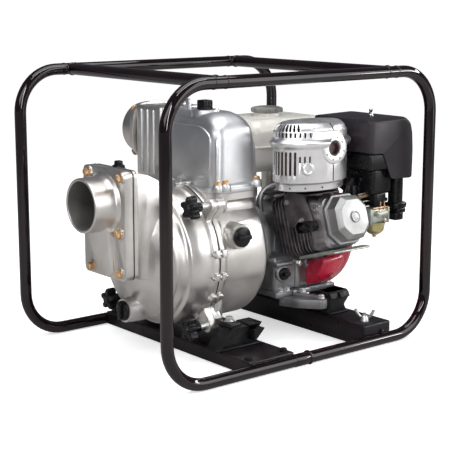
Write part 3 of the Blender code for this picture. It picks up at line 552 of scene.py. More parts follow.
def build_stage():
    floor = bpy.data.meshes.new("floor")
    reach = FLOOR_REACH
    floor.from_pydata([(-reach, -reach, 0), (reach, -reach, 0), (reach, reach, 0), (-reach, reach, 0)], [],
        [(0, 1, 2, 3)])
    made = bpy.data.objects.new("floor", floor)
    bpy.context.scene.collection.objects.link(made)
    build = Nodes("floor")
    path = add_node(build.tree, "LightPath", {}, {}).outputs
    mix = add_node(build.tree, "Mix", {}, {})
    mix.data_type = "RGBA"
    first, second, mixed = [socket for socket in (*mix.inputs, *mix.outputs) if socket.type == "RGBA"]
    build.link(build.ramp(build.noise(2.0), *FLOOR_TINTS), first)
    second.default_value = FLOOR_MIRRORED
    build.link(path["Is Glossy Ray"], mix.inputs[0])
    build.link(mixed, build.shader.inputs["Base Color"])
    glow = add_node(build.tree, "Math", {1: FLOOR_GLOW}, {0: path["Is Camera Ray"]})
    glow.operation = "MULTIPLY"
    build.link(glow.outputs[0], build.shader.inputs["Emission Strength"])
    fill(build.shader, {"Emission Color": (1.0, 1.0, 1.0, 1.0), "Roughness": 0.9, "Specular IOR Level": 0.0})
    floor.materials.append(build.made)

    world = bpy.data.worlds.new("studio")
    bpy.context.scene.world = world
    world.use_nodes = True
    tree = world.node_tree
    path = add_node(tree, "LightPath", {}, {}).outputs
    shown = None
    for kind, tone in WORLD_TONES.items():
        glow = add_node(tree, "Background", {"Color": (*tone, 1.0)}, {}).outputs["Background"]
        if shown is None:
            shown = glow
        else:
            links = {"Fac": path[kind], 1: shown, 2: glow}
            shown = add_node(tree, "MixShader", {}, links).outputs["Shader"]
    tree.links.new(shown, tree.nodes["World Output"].inputs["Surface"])
    for name, values in LIGHTS.items():
        soft_light(name, *values)
    bpy.context.scene.view_settings.view_transform = "Standard"


# --- frame -------------------------------------------------------------------------------
def hoop_route(side_y):
    """The centre line of one hoop."""
    steps = 14
    route = []
    for k, (sx, sz) in enumerate(((1, 1), (-1, 1), (-1, -1), (1, -1))):
        height = HOOP_HIGH - BEND_R if sz > 0 else HOOP_LOW + BEND_R
        bend = vec(sx * (HOOP_X - BEND_R), side_y, height)
        for step in range(steps + 1):
            angle = radians(90 * (k + step / steps))
            route.append(bend + BEND_R * vec(cos(angle), 0.0, sin(angle)))
    return route


def collar(place, along, half, height):
    """A low round ring about a frame tube, such as a weld bead or a sleeve's rim."""
    radius = TUBE_R
    return turned([(-half, radius - 1), (-half, radius + 0.2), (-half * 0.6, radius + height),
        (half * 0.6, radius + height), (half, radius + 0.2), (half, radius - 1)], 32, place, along,
        height * 0.6)


def build_frame():
    for side, y in (("near", -HOOP_Y), ("far", HOOP_Y)):
        rings = [collar((sx * CROSS_X + offset, y, HOOP_HIGH), X_AXIS, 2.2, 0.8) for sx in (-1, 1)
            for offset in (-14.5, 14.5)]
        sleeve = [collar((4, y, HOOP_LOW), X_AXIS, 3.2, 3.0),
            turned([(-40, TUBE_R - 1), (-40, TUBE_R + 0.7), (0, TUBE_R + 0.7), (0, TUBE_R - 1)], 40,
            (4, y, HOOP_LOW), X_AXIS, 0.5)]
        piece(f"hoop_{side}", [tube(hoop_route(y), TUBE_R, 40, True), *rings, *sleeve], "frame_paint",
            [f"frame_hoop_{side}"])
    for side, x in (("front", -CROSS_X), ("rear", CROSS_X)):
        reach = HOOP_Y - 5
        shapes = [rod((x, -reach, HOOP_HIGH), (x, reach, HOOP_HIGH), TUBE_R, 40)]
        for end in (-1, 1):
            shapes.append(collar((x, end * (HOOP_Y - TUBE_R + 0.5), HOOP_HIGH), Y_AXIS, 3.0, 1.6))
        piece(f"cross_{side}", shapes, "frame_paint", [f"cross_tube_{side}"])


def channel(name, node, corners, bolts):
    """An upside-down channel across the frame, notched over its tubes, with bolts on top."""
    (x0, z0), (x1, z1) = corners
    top = block((x0, -256, z0), (x1, 256, z1), 3.5, 3, lambda a, b: max(a.z, b.z) > z0 + 1)
    saddles = [rod((x0 - 20, y, HOOP_LOW), (x1 + 20, y, HOOP_LOW), 13.0, 48) for y in (-HOOP_Y, HOOP_Y)]
    piece(name, top, "rail_paint", [node], cut=[block((x0 + 4, -252, z0 - 5), (x1 - 4, 252, z1 - 4)),
        *saddles], bevel=0.4)
    bolt_piece(f"{name}_bolts", "rail_paint", [(x, y, z1) for x, y in bolts], Z_AXIS, 13, 5, 8.5)


def wing_nut(place, lean, size):
    """A wing nut with two ears on a stud's end."""
    place = Vector(place)
    turn = Matrix.Translation(place) @ Matrix.Rotation(lean, 4, "Z")
    ears = []
    for side in (1, -1):
        route = [(side * a * size, 0, b * size) for a, b in ((4, 4), (9, 8), (14, 15), (15, 19))]
        ear = tube(smooth_route(route, 5), 2.6 * size, 10)
        placed(ear, Matrix.Diagonal((1, 0.6, 1, 1)))
        ears.append(ear)
    core = turned([(0, 0), (0, 8 * size), (7 * size, 6 * size), (9 * size, 5 * size)], 24, (0, 0, 0),
        Z_AXIS, 1)
    stud = rod((0, 0, 0), (0, 0, 13 * size), 3.0 * size, 16)
    return placed(joined(core, stud, *ears), turn)


def mount(name, node, x, y, low, high, width, depth=44.0):
    """A rubber block between plates, with pointed ribs left and right and folded plates at both faces."""
    half = width / 2
    tall = high - low
    right = [(half - 6, low), (half - 2, low + 3), (half - 9, low + tall * 0.30),
        (half + 4, low + tall * 0.60), (half + 6, low + tall * 0.68), (half - 7, low + tall * 0.76),
        (half, high - 5), (half, high)]
    outline = [(x + a, b) for a, b in right] + [(x - a, b) for a, b in reversed(right)]
    core = slab(outline, 1.6, 2, y - depth / 2 + 9, y + depth / 2 - 9, "Y")
    face = y - depth / 2
    fold = [(face + 4, high - 3), (face - 1, high - 14), (face + 1, high - 16.5), (face + 9, high - 6),
        (face + 30, high - 6), (face + 30, high - 3)]
    folds = [prism(fold, x - half + 6, x - 6, "X"), prism(fold, x + 4, x + half - 1, "X")]
    back = [(2 * y - a, b) for a, b in fold]
    folds.append(prism(back, x - half + 2, x + half - 2, "X"))
    plate = block((x - half + 3, y - depth / 2 + 4, high - 3), (x + half - 3, y + depth / 2 - 4, high), 2, 2)
    base = block((x - half + 2, face, low), (x + half - 2, y + depth / 2, low + 3.5), 2, 2)
    web = block((x - half + 8, face + 7, low + 2), (x + half - 8, y + depth / 2 - 7, high - 2), 3, 2)
    piece(name, [core, *folds, plate, base, web], "rubber", [node], bevel=0.6)


def leaning_mount(name, node):
    """The near pump mount: a rubber block under a plate that slopes to the rail on its left."""
    core = slab([(-140, 30.3), (-136, 38), (-112, 72), (-50, 72), (-58, 62), (-50, 52), (-62, 42),
        (-60, 30.3)], 1.6, 2, -148, -126, "Y")
    left = slab([(-153, 31), (-148.5, 31), (-116, 72.4), (-82, 72.4), (-82, 76), (-119, 76)], 1.2, 2, -166,
        -121, "Y")
    tip = slab([(-74, 72.4), (-46, 72.4), (-54, 64), (-50, 63), (-38, 76), (-74, 76)], 1.0, 2, -164,
        -121, "Y")
    point = slab([(-56, 36), (-30, 61), (-38, 64), (-60, 62)], 1.0, 2, -164, -121, "Y")
    base = block((-156, -164, 30.3), (-40, -121, 33.5), 2, 2)
    piece(name, [core, left, tip, point, base], "rubber", [node], bevel=0.5)


def build_rails():
    channel("pump_channel", "pump_rail", ((-150, 2), (-30, PUMP_RAIL_TOP)),
        [(-138, -238), (-44, -238), (-138, 238), (-44, 238)])
    channel("engine_channel", "engine_rail", ((171, 2), (252, ENGINE_RAIL_TOP)), [(190, 238)])
    piece("rail_wing_nut", wing_nut((206, -222, ENGINE_RAIL_TOP), -0.97, 1.3), "steel")
    piece("rail_end_bolt", hex_bolt((226, -256, 26), -Y_AXIS, 11, 4, 7), "rail_paint")
    leaning_mount("mount_near", "pump_mount_near")
    mount("mount_far", "pump_mount_far", -68.0, 172.0, PUMP_RAIL_TOP + GAP, 76.0, 64.0)
    mount("mount_engine_near", "engine_mount_near", 206.0, -110.0, ENGINE_RAIL_TOP + GAP, 98.0, 64.0, 68.0)
    mount("mount_engine_far", "engine_mount_far", 207.0, 120.0, ENGINE_RAIL_TOP + GAP, 98.0, 48.0)


# --- pump --------------------------------------------------------------------------------
def plate_outline(grow=0.0):
    """The suction flange's outline in Y and Z."""
    y0, y1, z0, z1 = PLATE_Y[0] - grow, PLATE_Y[1] + grow, PLATE_Z[0] - grow, PLATE_Z[1] + grow
    return soften([(y0, z0), (y1, z0), (y1, z1), (y0, z1)], PLATE_CORNER, 6, True)


# Y and Z of each bolt of the suction flange.
FLANGE_BOLTS = [(-46, 390), (-42, 276), (-41, 195), (69, 391), (74, 286), (62, 195)]


def build_suction():
    plate = prism(plate_outline(), SUCTION_FACE, SUCTION_BACK + 1, "X")
    nozzle = turned([(SUCTION_END, 50), (SUCTION_END, 55.6), (SUCTION_END + 5, 56), (SUCTION_END + 36, 57),
        (-314, 59), (-306, 66), (-300, 66), (-300, 50)], 96, SUCTION, X_AXIS, 3.0)
    channel_outline = soften([(-18, 184), (54, 184), (60, 300), (-26, 300)], 22, 5, True)
    channel_body = loft([[(x, a + (AXIS_Y - a) * draw, b) for a, b in channel_outline]
        for x, draw in ((-290, 0.0), (-316, 0.03), (-325, 0.09), (-328, 0.18))])
    placed(channel_body, about(vec(-300, 0, 300), -9, "Y"))
    pads = [rod((-306, y, z), (-311, y, z), 12.5, 32) for y, z in FLANGE_BOLTS]
    piece("suction_plate", plate, "cast_alloy", ["suction_flange"],
        fuse=[through(SUCTION, "X", SUCTION_END + 12, -300, 55.5, 96), channel_body, *pads],
        cut=[through(SUCTION, "X", -380, -280, 50.4, 96)], bevel=1.6)
    piece("suction_nozzle", nozzle, "cast_alloy")
    piece("suction_gasket", prism(plate_outline(0.2), SUCTION_BACK + 1.1, SUCTION_BACK + 3.6, "X"),
        "rubber", cut=[through(SUCTION, "X", -300, -280, 50, 64)])
    bolt_piece("suction_bolts", "gold_zinc", [(-311, y, z) for y, z in FLANGE_BOLTS], -X_AXIS, 14, 7.5, 10.5)


def ear_outline(y, z):
    """An ear from the rim to a stud, in the plane of the rim."""
    half, steps = 15.0, 12
    reach = vec(y - AXIS_Y, z - AXIS_Z)
    length = reach.length
    outward = reach.normalized()
    sideways = vec(-outward.y, outward.x)
    local = [(-half * 1.7, RIM_R - 14), (half * 1.7, RIM_R - 14), (half * 1.05, RIM_R + 2)]
    for step in range(steps + 1):
        angle = pi * step / steps
        local.append(((half - 1) * cos(angle), length + (half - 1) * sin(angle)))
    local.append((-half * 1.05, RIM_R + 2))
    return [(AXIS_Y + outward.x * v + sideways.x * u, AXIS_Z + outward.y * v + sideways.y * u)
        for u, v in local]


def rim_lugs():
    """Small cast blocks with bolts that bridge the rim."""
    blocks, bolts = [], []
    for degrees in (172, 190, 208, 232, 100, 78, 10, -12, -34):
        angle = radians(degrees)
        out = vec(0, cos(angle), sin(angle))
        seat = vec(0, AXIS_Y, AXIS_Z) + out * (RIM_R - 1.5)
        turn = Matrix.Translation(seat) @ turn_to(out)
        for x0, x1 in ((-139, -127.5), (-122.5, -110)):
            lump = block((-6, -8.5, -8), (6, 8.5, 4.5), 2.6, 3)
            spread = Matrix.Translation(((x0 + x1) / 2, 0, 0)) @ turn
            blocks.append(placed(lump, spread))
        bolts.append(rod(seat + vec(-146, 0, 0) - out * 1, seat + vec(-106, 0, 0) - out * 1, 3.4, 16))
        bolts.append(hex_bolt(seat + vec(-139, 0, 0) - out, -X_AXIS, 9, 5))
    return blocks, bolts


def build_cover():
    outer = [(-257, 0), (-257, 34), (-253, 62), (-243, 92), (-226, 117), (-203, 134), (-194, 137),
        (-191, 143), (-172, 148.5), (-158, 150), (-146, 151), (-141, 153.5), (SPLIT_X - RIM_GAP, 154),
        (SPLIT_X - RIM_GAP, 120)]
    roof = [(SUCTION_BACK + 4, 178), (SUCTION_BACK + 4, 398), (-246, 391), (-205, 368), (-168, 326),
        (-160, 290), (-160, 178)]
    strip = prism(plate_outline(-0.6), SUCTION_BACK + 3.7, -276, "X")
    front = turned([(0, 0), (0, 25), (30, 27), (70, 27)], 48, (FRONT_DRAIN.x, 10, FRONT_DRAIN.z), X_AXIS, 2)
    neck = turned([(0, 0), (0, 19), (14, 17), (20, 14.5)], 40, (BOX_PLUG.x, BOX_PLUG.y, 380), Z_AXIS, 2)
    ears = [prism(ear_outline(y, z), -141, SPLIT_X - 0.6, "X") for y, z in KNOBS.values()]
    piece("cover", on_axis(outer, 120, 5.0), "cast_alloy", ["front_cover"],
        fuse=[slab(roof, 26, 6, *BOX_Y, "Y"), strip, front, neck, *ears],
        cut=[through(FRONT_DRAIN, "X", -275, -235, 15.2, 40),
        through(BOX_PLUG, "Z", 385, 402, 8.4, 32)], bevel=2.2, angle=40)
    piece("cover_step", on_axis([(-219, 118), (-220, 123), (-214, 127.5), (-208, 126)], 120, 2),
        "cast_alloy", cut=[block((-300, BOX_Y[0] + 1, AXIS_Z), (-150, BOX_Y[1] - 1, 420))])
    blocks, bolts = rim_lugs()
    piece("rim_lugs", blocks, "cast_alloy", bevel=0.5)
    piece("rim_bolts", bolts, "steel")
    piece("rim_gasket",
        on_axis([(SPLIT_X - RIM_GAP, 148), (SPLIT_X - RIM_GAP, 153.2), (SPLIT_X + RIM_GAP, 153.2),
        (SPLIT_X + RIM_GAP, 148)], 120), "rubber")


def build_casing():
    shell = [(SPLIT_X + RIM_GAP, 120), (SPLIT_X + RIM_GAP, 154), (-112, 153.5), (-106, 150.5),
        (-90, 149.5), (2, 148.4), (9, 144), (12, 134), (13, 104), (20, 98), (52, 94), (52, 60)]
    ears = [prism(ear_outline(y, z), SPLIT_X + 0.6, -106, "X") for y, z in KNOBS.values()]
    foot = 76 + GAP
    feet = [block((-117, -104, 80), (-94, -62, 130), 5, 2), block((-96, 110, 80), (-73, 140, 130), 5, 2)]
    brackets = [block((-126, -168, foot), (-98, -66, 85), 3, 2),
        block((-102, 95, foot), (-36, 192, 85), 3, 2)]
    piece("pump_brackets", brackets, "rail_paint", bevel=0.6)
    neck = block((-104, -92, 215), (17, 146, 336), 26, 5)
    deck = prism(deck_outline(0.0), 328, DECK_Z, "Z")
    boss = turned([(0, 0), (0, 30), (20, 27.5), (46, 26.5), (52, 25)], 56, (SIDE_PLUG.x, -90, SIDE_PLUG.z),
        -Y_AXIS, 3)
    piece("casing", on_axis(shell, 120, 5.0), "cast_alloy", ["pump_casing"],
        fuse=[neck, deck, boss, *ears, *feet], cut=[through(SIDE_PLUG, "Y", -150, -128, 15.2, 40),
        block((-90, -80, 290), (0, 132, DECK_Z + 5), 20, 3)], bevel=2.0, angle=40)
    bolt_piece("mount_nuts", "steel", [(-112, -146, 86), (-70, 172, 86)], Z_AXIS, 15, 8, 11)


def deck_outline(grow):
    """The outline that the casing's deck and the chamber's flange share."""
    x0, x1, y0, y1 = -109.3 - grow, 21 + grow, -101 - grow, 156 + grow
    return soften([(x0, y0), (x1, y0), (x1, y1), (x0, y1)], 44, 7, True)


# X and Y of each bolt that holds the chamber on the deck.
DECK_BOLTS = [(-103, -97), (-80, -93), (8, -90), (-97, 30), (-94, 141), (6, 141), (10, 30)]


def domed(low, high, corner, top):
    """A box that narrows a little upwards, with rounded sides and a rounder top."""
    lean, steps = 5.0, 9
    half_x, half_y = (high.x - low.x) / 2, (high.y - low.y) / 2
    middle = (low + high) / 2
    levels = [(low.z, 0.0), (low.z + 20, 0.4)]
    levels += [(high.z - top + top * sin(angle), lean + top * (1 - cos(angle)))
        for angle in (radians(86 * k / steps) for k in range(steps + 1))]
    rings = []
    for z, inset in levels:
        wide = half_x - (inset if inset < lean else lean + 0.66 * (inset - lean))
        ring = rounded(wide, half_y - inset, min(corner + 0.2 * inset, wide - 4))
        rings.append([(middle.x + u, middle.y + v, z) for u, v in ring])
    return loft(rings)


def build_chamber():
    low, high = vec(-106, -94, DECK_Z + 0.5), vec(15, 150, 505)
    shell = domed(low, high, 24.0, 52.0)
    flange = prism(deck_outline(0.0), DECK_Z + 0.5, 353, "Z")
    rim = prism(deck_outline(-4.0), 352, 357, "Z")
    neck = block((-106, 96, 353), (4, OUTLET_FACE + 5, 507), 9, 5, upright)
    seat = turned([(0, 0), (0, 30), (12, 29), (18, 27)], 56, (PRIMER.x, PRIMER.y, 490), Z_AXIS, 2)
    pads = [turned([(0, 0), (0, 12), (10, 11), (14, 9.5)], 32, (x, y, 348), Z_AXIS, 2)
        for x, y in DECK_BOLTS]
    left = soften([(-74, 372), (112, 372), (112, 470), (96, 478), (-40, 478), (-72, 462)], 34, 6, True)
    piece("chamber_neck", neck, "cast_alloy", cut=[through(OUTLET, "Y", 90, 195, 44, 64)], bevel=4.0,
        angle=42)
    piece("chamber", shell, "chamber_alloy", ["discharge_chamber"],
        fuse=[flange, rim, seat, *pads,
        placed(prism(left, -107.6, -99, "X"), about(vec(-107.6, 0, 372), 2.4, "Y"))],
        cut=[block((-94, -82, DECK_Z - 5), (5, 138, 470), 20, 3),
        through(OUTLET, "Y", 100, 160, 44, 64)], bevel=1.8, angle=42)
    ribs = [curve([(-96, -85, 357), (-95, -84, 420), (-92, -81, 450), (-80, -70, 482)], 6, 4.2, 12),
        curve([(8, -82, 357), (7, -80, 410), (5, -76, 445), (-4, -64, 478)], 6, 4.0, 12)]
    piece("chamber_ribs", ribs, "chamber_alloy")
    piece("chamber_gasket", prism(deck_outline(-1.0), DECK_Z - 0.2, DECK_Z + 0.7, "Z"), "rubber")
    bolt_piece("chamber_bolts", "gold_zinc", [(x, y, 361) for x, y in DECK_BOLTS], Z_AXIS, 13, 7, 9.5)
    nuts = [rod((x, y, 306), (x, y, 330), 4, 16) for x, y in DECK_BOLTS[:2]]
    nuts += [hex_bolt((x, y, 328), -Z_AXIS, 12, 7) for x, y in DECK_BOLTS[:2]]
    piece("chamber_nuts", nuts, "steel")
    eye = block((-44, 76, 500), (-36, 108, 524), 6, 4)
    piece("lifting_lug", eye, "chamber_alloy", cut=[rod((-60, 92, 513), (-20, 92, 513), 5.5, 28)], bevel=1.0)
    piece("chamber_bump", turned([(0, 0), (0, 7), (6, 5.5), (8, 3)], 28, (-46, -22, 503), Z_AXIS,
        1.5), "chamber_alloy")


def build_outlet():
    half, power = 63.0, 3.4
    outline = []
    for c, s in circle(72):
        reach = half / (abs(c) ** power + abs(s) ** power) ** (1 / power)
        outline.append((OUTLET_X + reach * c, OUTLET_Z + reach * s))
    nozzle = turned([(OUTLET_FACE + 6, 50), (OUTLET_FACE + 6, 66), (OUTLET_FACE + 17, 60),
        (OUTLET_FACE + 24, 57.5), (243, 57), (243, 50)], 96, OUTLET, Y_AXIS, 3)
    piece("outlet_plate", prism(outline, OUTLET_FACE + 5.5, OUTLET_FACE + 17.3, "Y"), "cast_alloy",
        ["discharge_flange"], cut=[through(OUTLET, "Y", 180, 250, 50.5, 96)], bevel=1.8)
    piece("outlet_nozzle", nozzle, "cast_alloy")
    corners = [(OUTLET_X + sx * 47, OUTLET_FACE + 17.3, OUTLET_Z + sz * 47) for sx in (-1, 1)
        for sz in (-1, 1)]
    bolt_piece("outlet_bolts", "gold_zinc", corners, Y_AXIS, 13, 7, 9.5)
    ridges = [block((-110, y - 5, 360), (-103, y + 5, 500), 3.4, 3) for y in (124, 146, 168)]
    ridges += [block((OUTLET_X + dx - 3, 112, 503), (OUTLET_X + dx + 3, OUTLET_FACE, 508.5), 2.5, 2)
        for dx in (-30, 30)]
    piece("outlet_ridges", ridges, "chamber_alloy")


def star_knob(name, node, y, z):
    """A five-armed hand knob with round arms and a hub."""
    count = 100
    rings = []
    for x, scale, shrink in ((-14, 0.78, 3.0), (-12.5, 0.9, 1.2), (-9, 1.0, 0.0), (5, 1.0, 0.0),
            (8.5, 0.93, 1.0), (9.5, 0.8, 3.0)):
        ring = []
        for k in range(count):
            angle = tau * k / count
            wave = cos(5 * angle)
            reach = (18.3 + 6.9 * copysign(abs(wave) ** 0.72, wave) - shrink) * (0.9 + 0.1 * scale)
            ring.append((KNOB_X + x, y + reach * sin(angle), z + reach * cos(angle)))
        rings.append(ring)
    hub = turned([(-17, 0), (-17, 8), (-12, 11), (12, 11), (20, 9.5)], 40, (KNOB_X, y, z), X_AXIS, 1.5)
    piece(name, [loft(rings), hub], "black_plastic", own=node)


def build_knobs():
    for place, (y, z) in KNOBS.items():
        star_knob(f"star_{place}", f"knob_{place}", y, z)
        nut = [turned([(0, 0), (0, 9.5), (1.8, 9.5)], 28, (-160.5, y, z), X_AXIS, 0.5),
            rod((-158, y, z), (-141, y, z), 8.0, 28)]
        piece(f"stud_collar_{place}", nut, "steel")


def plug(name, node, seat, out, radius, height, square, barred=False):
    """A screwed plug: a collar under a square head, or under a bar across it."""
    seat, out = Vector(seat), Vector(out)
    turn = Matrix.Translation(seat) @ turn_to(out)
    collar_ring = turned([(0.3, 0), (0.3, radius), (height * 0.34, radius), (height * 0.42, radius - 2)],
        56, seat, out, 1.0)
    half = square / 2
    head = placed(block((-half, -half, height * 0.3), (half, half, height), 2.2, 3), turn)
    shapes = [collar_ring, head]
    if barred:
        bar = placed(block((-radius * 0.82, -4.2, height * 0.3), (radius * 0.82, 4.2, height * 0.95), 1.8,
            3), turn)
        shapes = [collar_ring, bar]
    piece(name, shapes, "black_plastic", own=node)


def build_plugs():
    plug("box_plug", "suction_box_plug", BOX_PLUG, Z_AXIS, 13, 15, 14)
    plug("front_plug", "front_drain_plug", FRONT_DRAIN, -X_AXIS, 21, 14, 18, True)
    plug("side_plug", "casing_side_plug", SIDE_PLUG, -Y_AXIS, 21, 15, 17, True)
    seat = PRIMER
    side = 12.6
    cap = block((-side, -side, 4), (side, side, 20), 3.0, 4)
    grooves = [block((-1.2 + dx, sy * side - 1.0, 7), (1.2 + dx, sy * side + 1.0, 21))
        for dx in (-7, 0, 7) for sy in (-1, 1)]
    grooves += [block((sx * side - 1.0, -1.2 + dy, 7), (sx * side + 1.0, 1.2 + dy, 21))
        for dy in (-7, 0, 7) for sx in (-1, 1)]
    piece("cap_head", moved(cap, seat), "black_plastic", own="priming_cap",
        cut=[moved(groove, seat) for groove in grooves], bevel=0.5)
    piece("cap_collar", turned([(0.3, 0), (0.3, 17), (4, 17), (5, 15.5)], 56, seat, Z_AXIS,
        0.8), "black_plastic", body="priming_cap")


def build_pump():
    build_suction()
    build_cover()
    build_casing()
    build_chamber()
    build_outlet()
    build_knobs()
    build_plugs()


# --- engine ------------------------------------------------------------------------------
def leaned(shape):
    """Put a shape drawn round +Z on the cylinder's axis: its X stays and its Y points up."""
    return placed(shape, Matrix.Translation(CRANK) @ BORE_TURN)


def rounded(half_u, half_v, corner, steps=6):
    """A rectangle about the origin with round corners."""
    points = []
    for k, (su, sv) in enumerate(((1, 1), (-1, 1), (-1, -1), (1, -1))):
        for step in range(steps + 1):
            angle = radians(90 * (k + step / steps))
            points.append((su * (half_u - corner) + corner * cos(angle), sv * (half_v - corner)
                + corner * sin(angle)))
    return points


def stacked(levels, steps=6):
    """A skin over rounded rectangles (along, half width, half height, corner) on the cylinder's axis."""
    return leaned(loft([[(u, v, along) for u, v in rounded(a, b, c, steps)] for along, a, b, c in levels]))


def build_cylinder():
    first_fin, last_fin, pitch = 62.3, 168, 10.6
    levels = []
    along = first_fin
    while along < last_fin:
        levels += [(along, 44, 45, 12), (along + 5.6, 44, 45, 12), (along + 5.8, 49.2, 68.6, 20),
            (along + 7.2, 50.0, 69.6, 20), (along + 8.8, 49.2, 68.6, 20), (along + 9.0, 44, 45, 12)]
        along += pitch
    levels += [(170, 45, 46, 12), (170.2, 48, 64, 10), (178, 48, 64, 10)]
    fins = moved(stacked(levels), FIN_RISE)
    piece("finned_cylinder", fins, "dark_fins", ["cylinder"],
        cut=[leaned(rod((0, 0, 50), (0, 0, 178.5), 44.4, 64))])
    head = [(178, 46, 58, 12), (184, 46, 58, 12), (187, 50.5, 61, 18), (218, 50.5, 57, 20),
        (222, 49, 53, 21), (226, 48.5, 50, 22)]
    body = moved(stacked(head), BORE_UP * 3)
    marks = [block((-52.2, v - 2.2, 192), (-48, v + 2.2, 222), 1.6, 2) for v in (-38, -26, 26, 38)]
    piece("head_casting", body, "head_alloy", fuse=[leaned(rod((-53, 34, 206), (-44, 34, 206), 8, 32))]
        + [leaned(mark) for mark in marks], cut=[leaned(rod((-60, 0, 198), (-24, 0, 198), 8.2, 32)),
        leaned(rod((-60, 34, 206), (-48, 34, 206), 4.2))], bevel=1.6, angle=40)
    base = [(226.3, 51, 52, 24), (227, 52.4, 53.4, 25), (232.2, 52.4, 53.4, 25), (233.2, 51.4, 52.4, 24.5),
        (233.8, 47.4, 48.4, 23), (255, 45.0, 46.0, 22.4), (263.6, 37.6, 38.6, 20), (264.8, 35.6, 36.6, 19),
        (265.2, 12, 12, 5)]
    cover = leaned(loft([[(u, v, a) for u, v in octagon(p, q, r)] for a, p, q, r in base]))
    piece("rocker_cover", moved(cover, COVER_SHIFT), "bright_cover", ["valve_cover"], bevel=1.0, angle=24)
    boss = leaned(turned([(262, 0), (262, 13.4), (268.2, 12.4), (268.4, 10.6), (266.6, 9.6), (266.4, 7.6),
        (267.4, 4)], 56, (0, 0, 0), Z_AXIS, 0.5))
    piece("cover_boss", moved(boss, COVER_SHIFT), "bright_cover")
    side = soften([(79, 120), (79, 150), (72, 184), (44, 193), (10, 199), (-4, 188), (-1, 172), (6, 150),
        (5, 122), (46, 117)], 9, 5, True)
    top = leaned(block((-55, 58, 74), (44, 60, 186), 3, 3))
    tin = [leaned(prism(side, -55.2, -52.6, "X")), moved(top, BORE_UP * 20)]
    piece("side_tin", tin, "dark_fins", bevel=0.9)
    lower = leaned(slab([(-64, 128), (-58, 128), (-58, 222), (-63, 240), (-67, 240), (-65, 200)], 3, 2,
        -50, 58, "X"))
    piece("lower_tin", lower, "carb_alloy", bevel=0.6)
    tin_bolts = [leaned(hex_bolt((-55.2, v, a), -X_AXIS, 9, 5, 6)) for v, a in ((17, 165), (62, 128))]
    piece("tin_bolts", tin_bolts, "steel")
    stay = [curve([(82, -20, 266), (77, -20, 292), (80, -20, 309), (101, -20, 326), (122, -40, 335)], 6,
        7, 14), rod((70, -20, 274), (76, -20, 274), 5.0, 24)]
    piece("muffler_strut", stay, "engine_alloy")


def octagon(half_u, half_v, c):
    """A rectangle with c cut off each corner, and the new corners slightly rounded."""
    corners = [(half_u, -half_v + c), (half_u, half_v - c), (half_u - c, half_v), (c - half_u, half_v),
        (-half_u, half_v - c), (-half_u, c - half_v), (c - half_u, -half_v), (half_u - c, -half_v)]
    return soften(corners, 2.6, 3, True)


def build_crankcase():
    x0, x1 = 52.3, 205.0
    body = block((x0, -100, 106), (x1, 110, 185), 12, 3)
    upper = block((x0, -38, 160), (x1 - 1, 104, 276), 16, 4)
    rib = block((190, 62, 268), (204, 104, 318), 5, 3)
    neck = stacked([(30, 48.6, 55, 12), (61.5, 48.6, 55, 12)])
    base = block((x0, -106, 98.4), (x1, 136, 110), 5, 3, upright)
    feet = [block((x1 - 5, y0, 98.4), (x1 + 23, y1, 109), 3, 2) for y0, y1 in ((-106, -80), (113, 136))]
    arm = [slab([(66, -96), (112, -96), (138, -174), (132, -181), (118, -182), (84, -140)], 6, 3, 79,
        98.2, "Z"), slab([(96, -107), (112, -107), (134, -168), (124, -172)], 5, 3, 97, 105, "Z")]
    piece("engine_foot", arm, "engine_alloy", bevel=1.4)
    pad = turned([(0, 0), (0, 21), (5, 19), (6, 17)], 40, (76, -97, 150), -Y_AXIS, 1.5)
    pads = [rod((52.5, -101, 172), (100, -101, 172), 6.5, 24),
        block((110, -104, 112), (126, -92, 176), 4, 3), block((150, -104, 112), (196, -92, 132), 5, 3),
        block((140, -103, 150), (200, -92, 172), 6, 3), block((98, -112, 98.4), (150, -96, 112), 4, 3)]
    ring = on_axis([(40, 80), (40, 95), (52, 98), (64, 98), (64, 80)], 96, 3)
    bore = leaned(rod((0, 0, -48), (0, 0, 79), 44.6, 64))
    piece("engine_block", body, "engine_alloy", ["crankcase"],
        fuse=[upper, rib, neck, base, *feet, pad, *pads], cut=[bore], bevel=1.8, angle=38)
    piece("adaptor_ring", ring, "engine_alloy", bevel=0.8)
    bolts = [hex_bolt((41, AXIS_Y + BOLT_CIRCLE * cos(angle), AXIS_Z + BOLT_CIRCLE * sin(angle)), -X_AXIS,
        11, 6, 8) for angle in map(radians, (200, 222, 245, 150, 120, 60, 30, 330, 300))]
    bolts += [hex_bolt((x, y, z), -Y_AXIS, 11, 6, 8) for x, y, z in ((118, -104, 168), (190, -104, 122),
        (148, -103, 161))]
    bolts += [hex_bolt((x, y, z), Z_AXIS, 13, 7, 9) for x, y, z in ((70, -97, 110), (88, -99, 110),
        (117, -118, 106), (128, -166, 99))]
    bolts += [hex_bolt((215, y, 109), Z_AXIS, 13, 7, 10) for y in (-93, 124)]
    piece("engine_bolts", bolts, "steel")
    cap = [turned([(0.3, 0), (0.3, 14), (7, 14), (8.5, 12)], 40, (76, -100, 150), -Y_AXIS, 1.2),
        block((67.5, -118, 145.5), (84.5, -106, 154.5), 2.5, 3)]
    piece("oil_cap", cap, "black_plastic", own="oil_filler_cap")


def oval(a, b, z):
    """An ellipse about the muffler's upright axis."""
    return [(SHIELD_X + a * c, SHIELD_Y + b * s, z) for c, s in circle(112)]


def on_shield(angle, z, depth=0.0):
    """A point on the shield's side, with its outward direction."""
    a, b = SHIELD_REACH
    point = vec(SHIELD_X + (a - depth) * cos(angle), SHIELD_Y + (b - depth) * sin(angle), z)
    out = vec(cos(angle) / a, sin(angle) / b, 0).normalized()
    return point, out


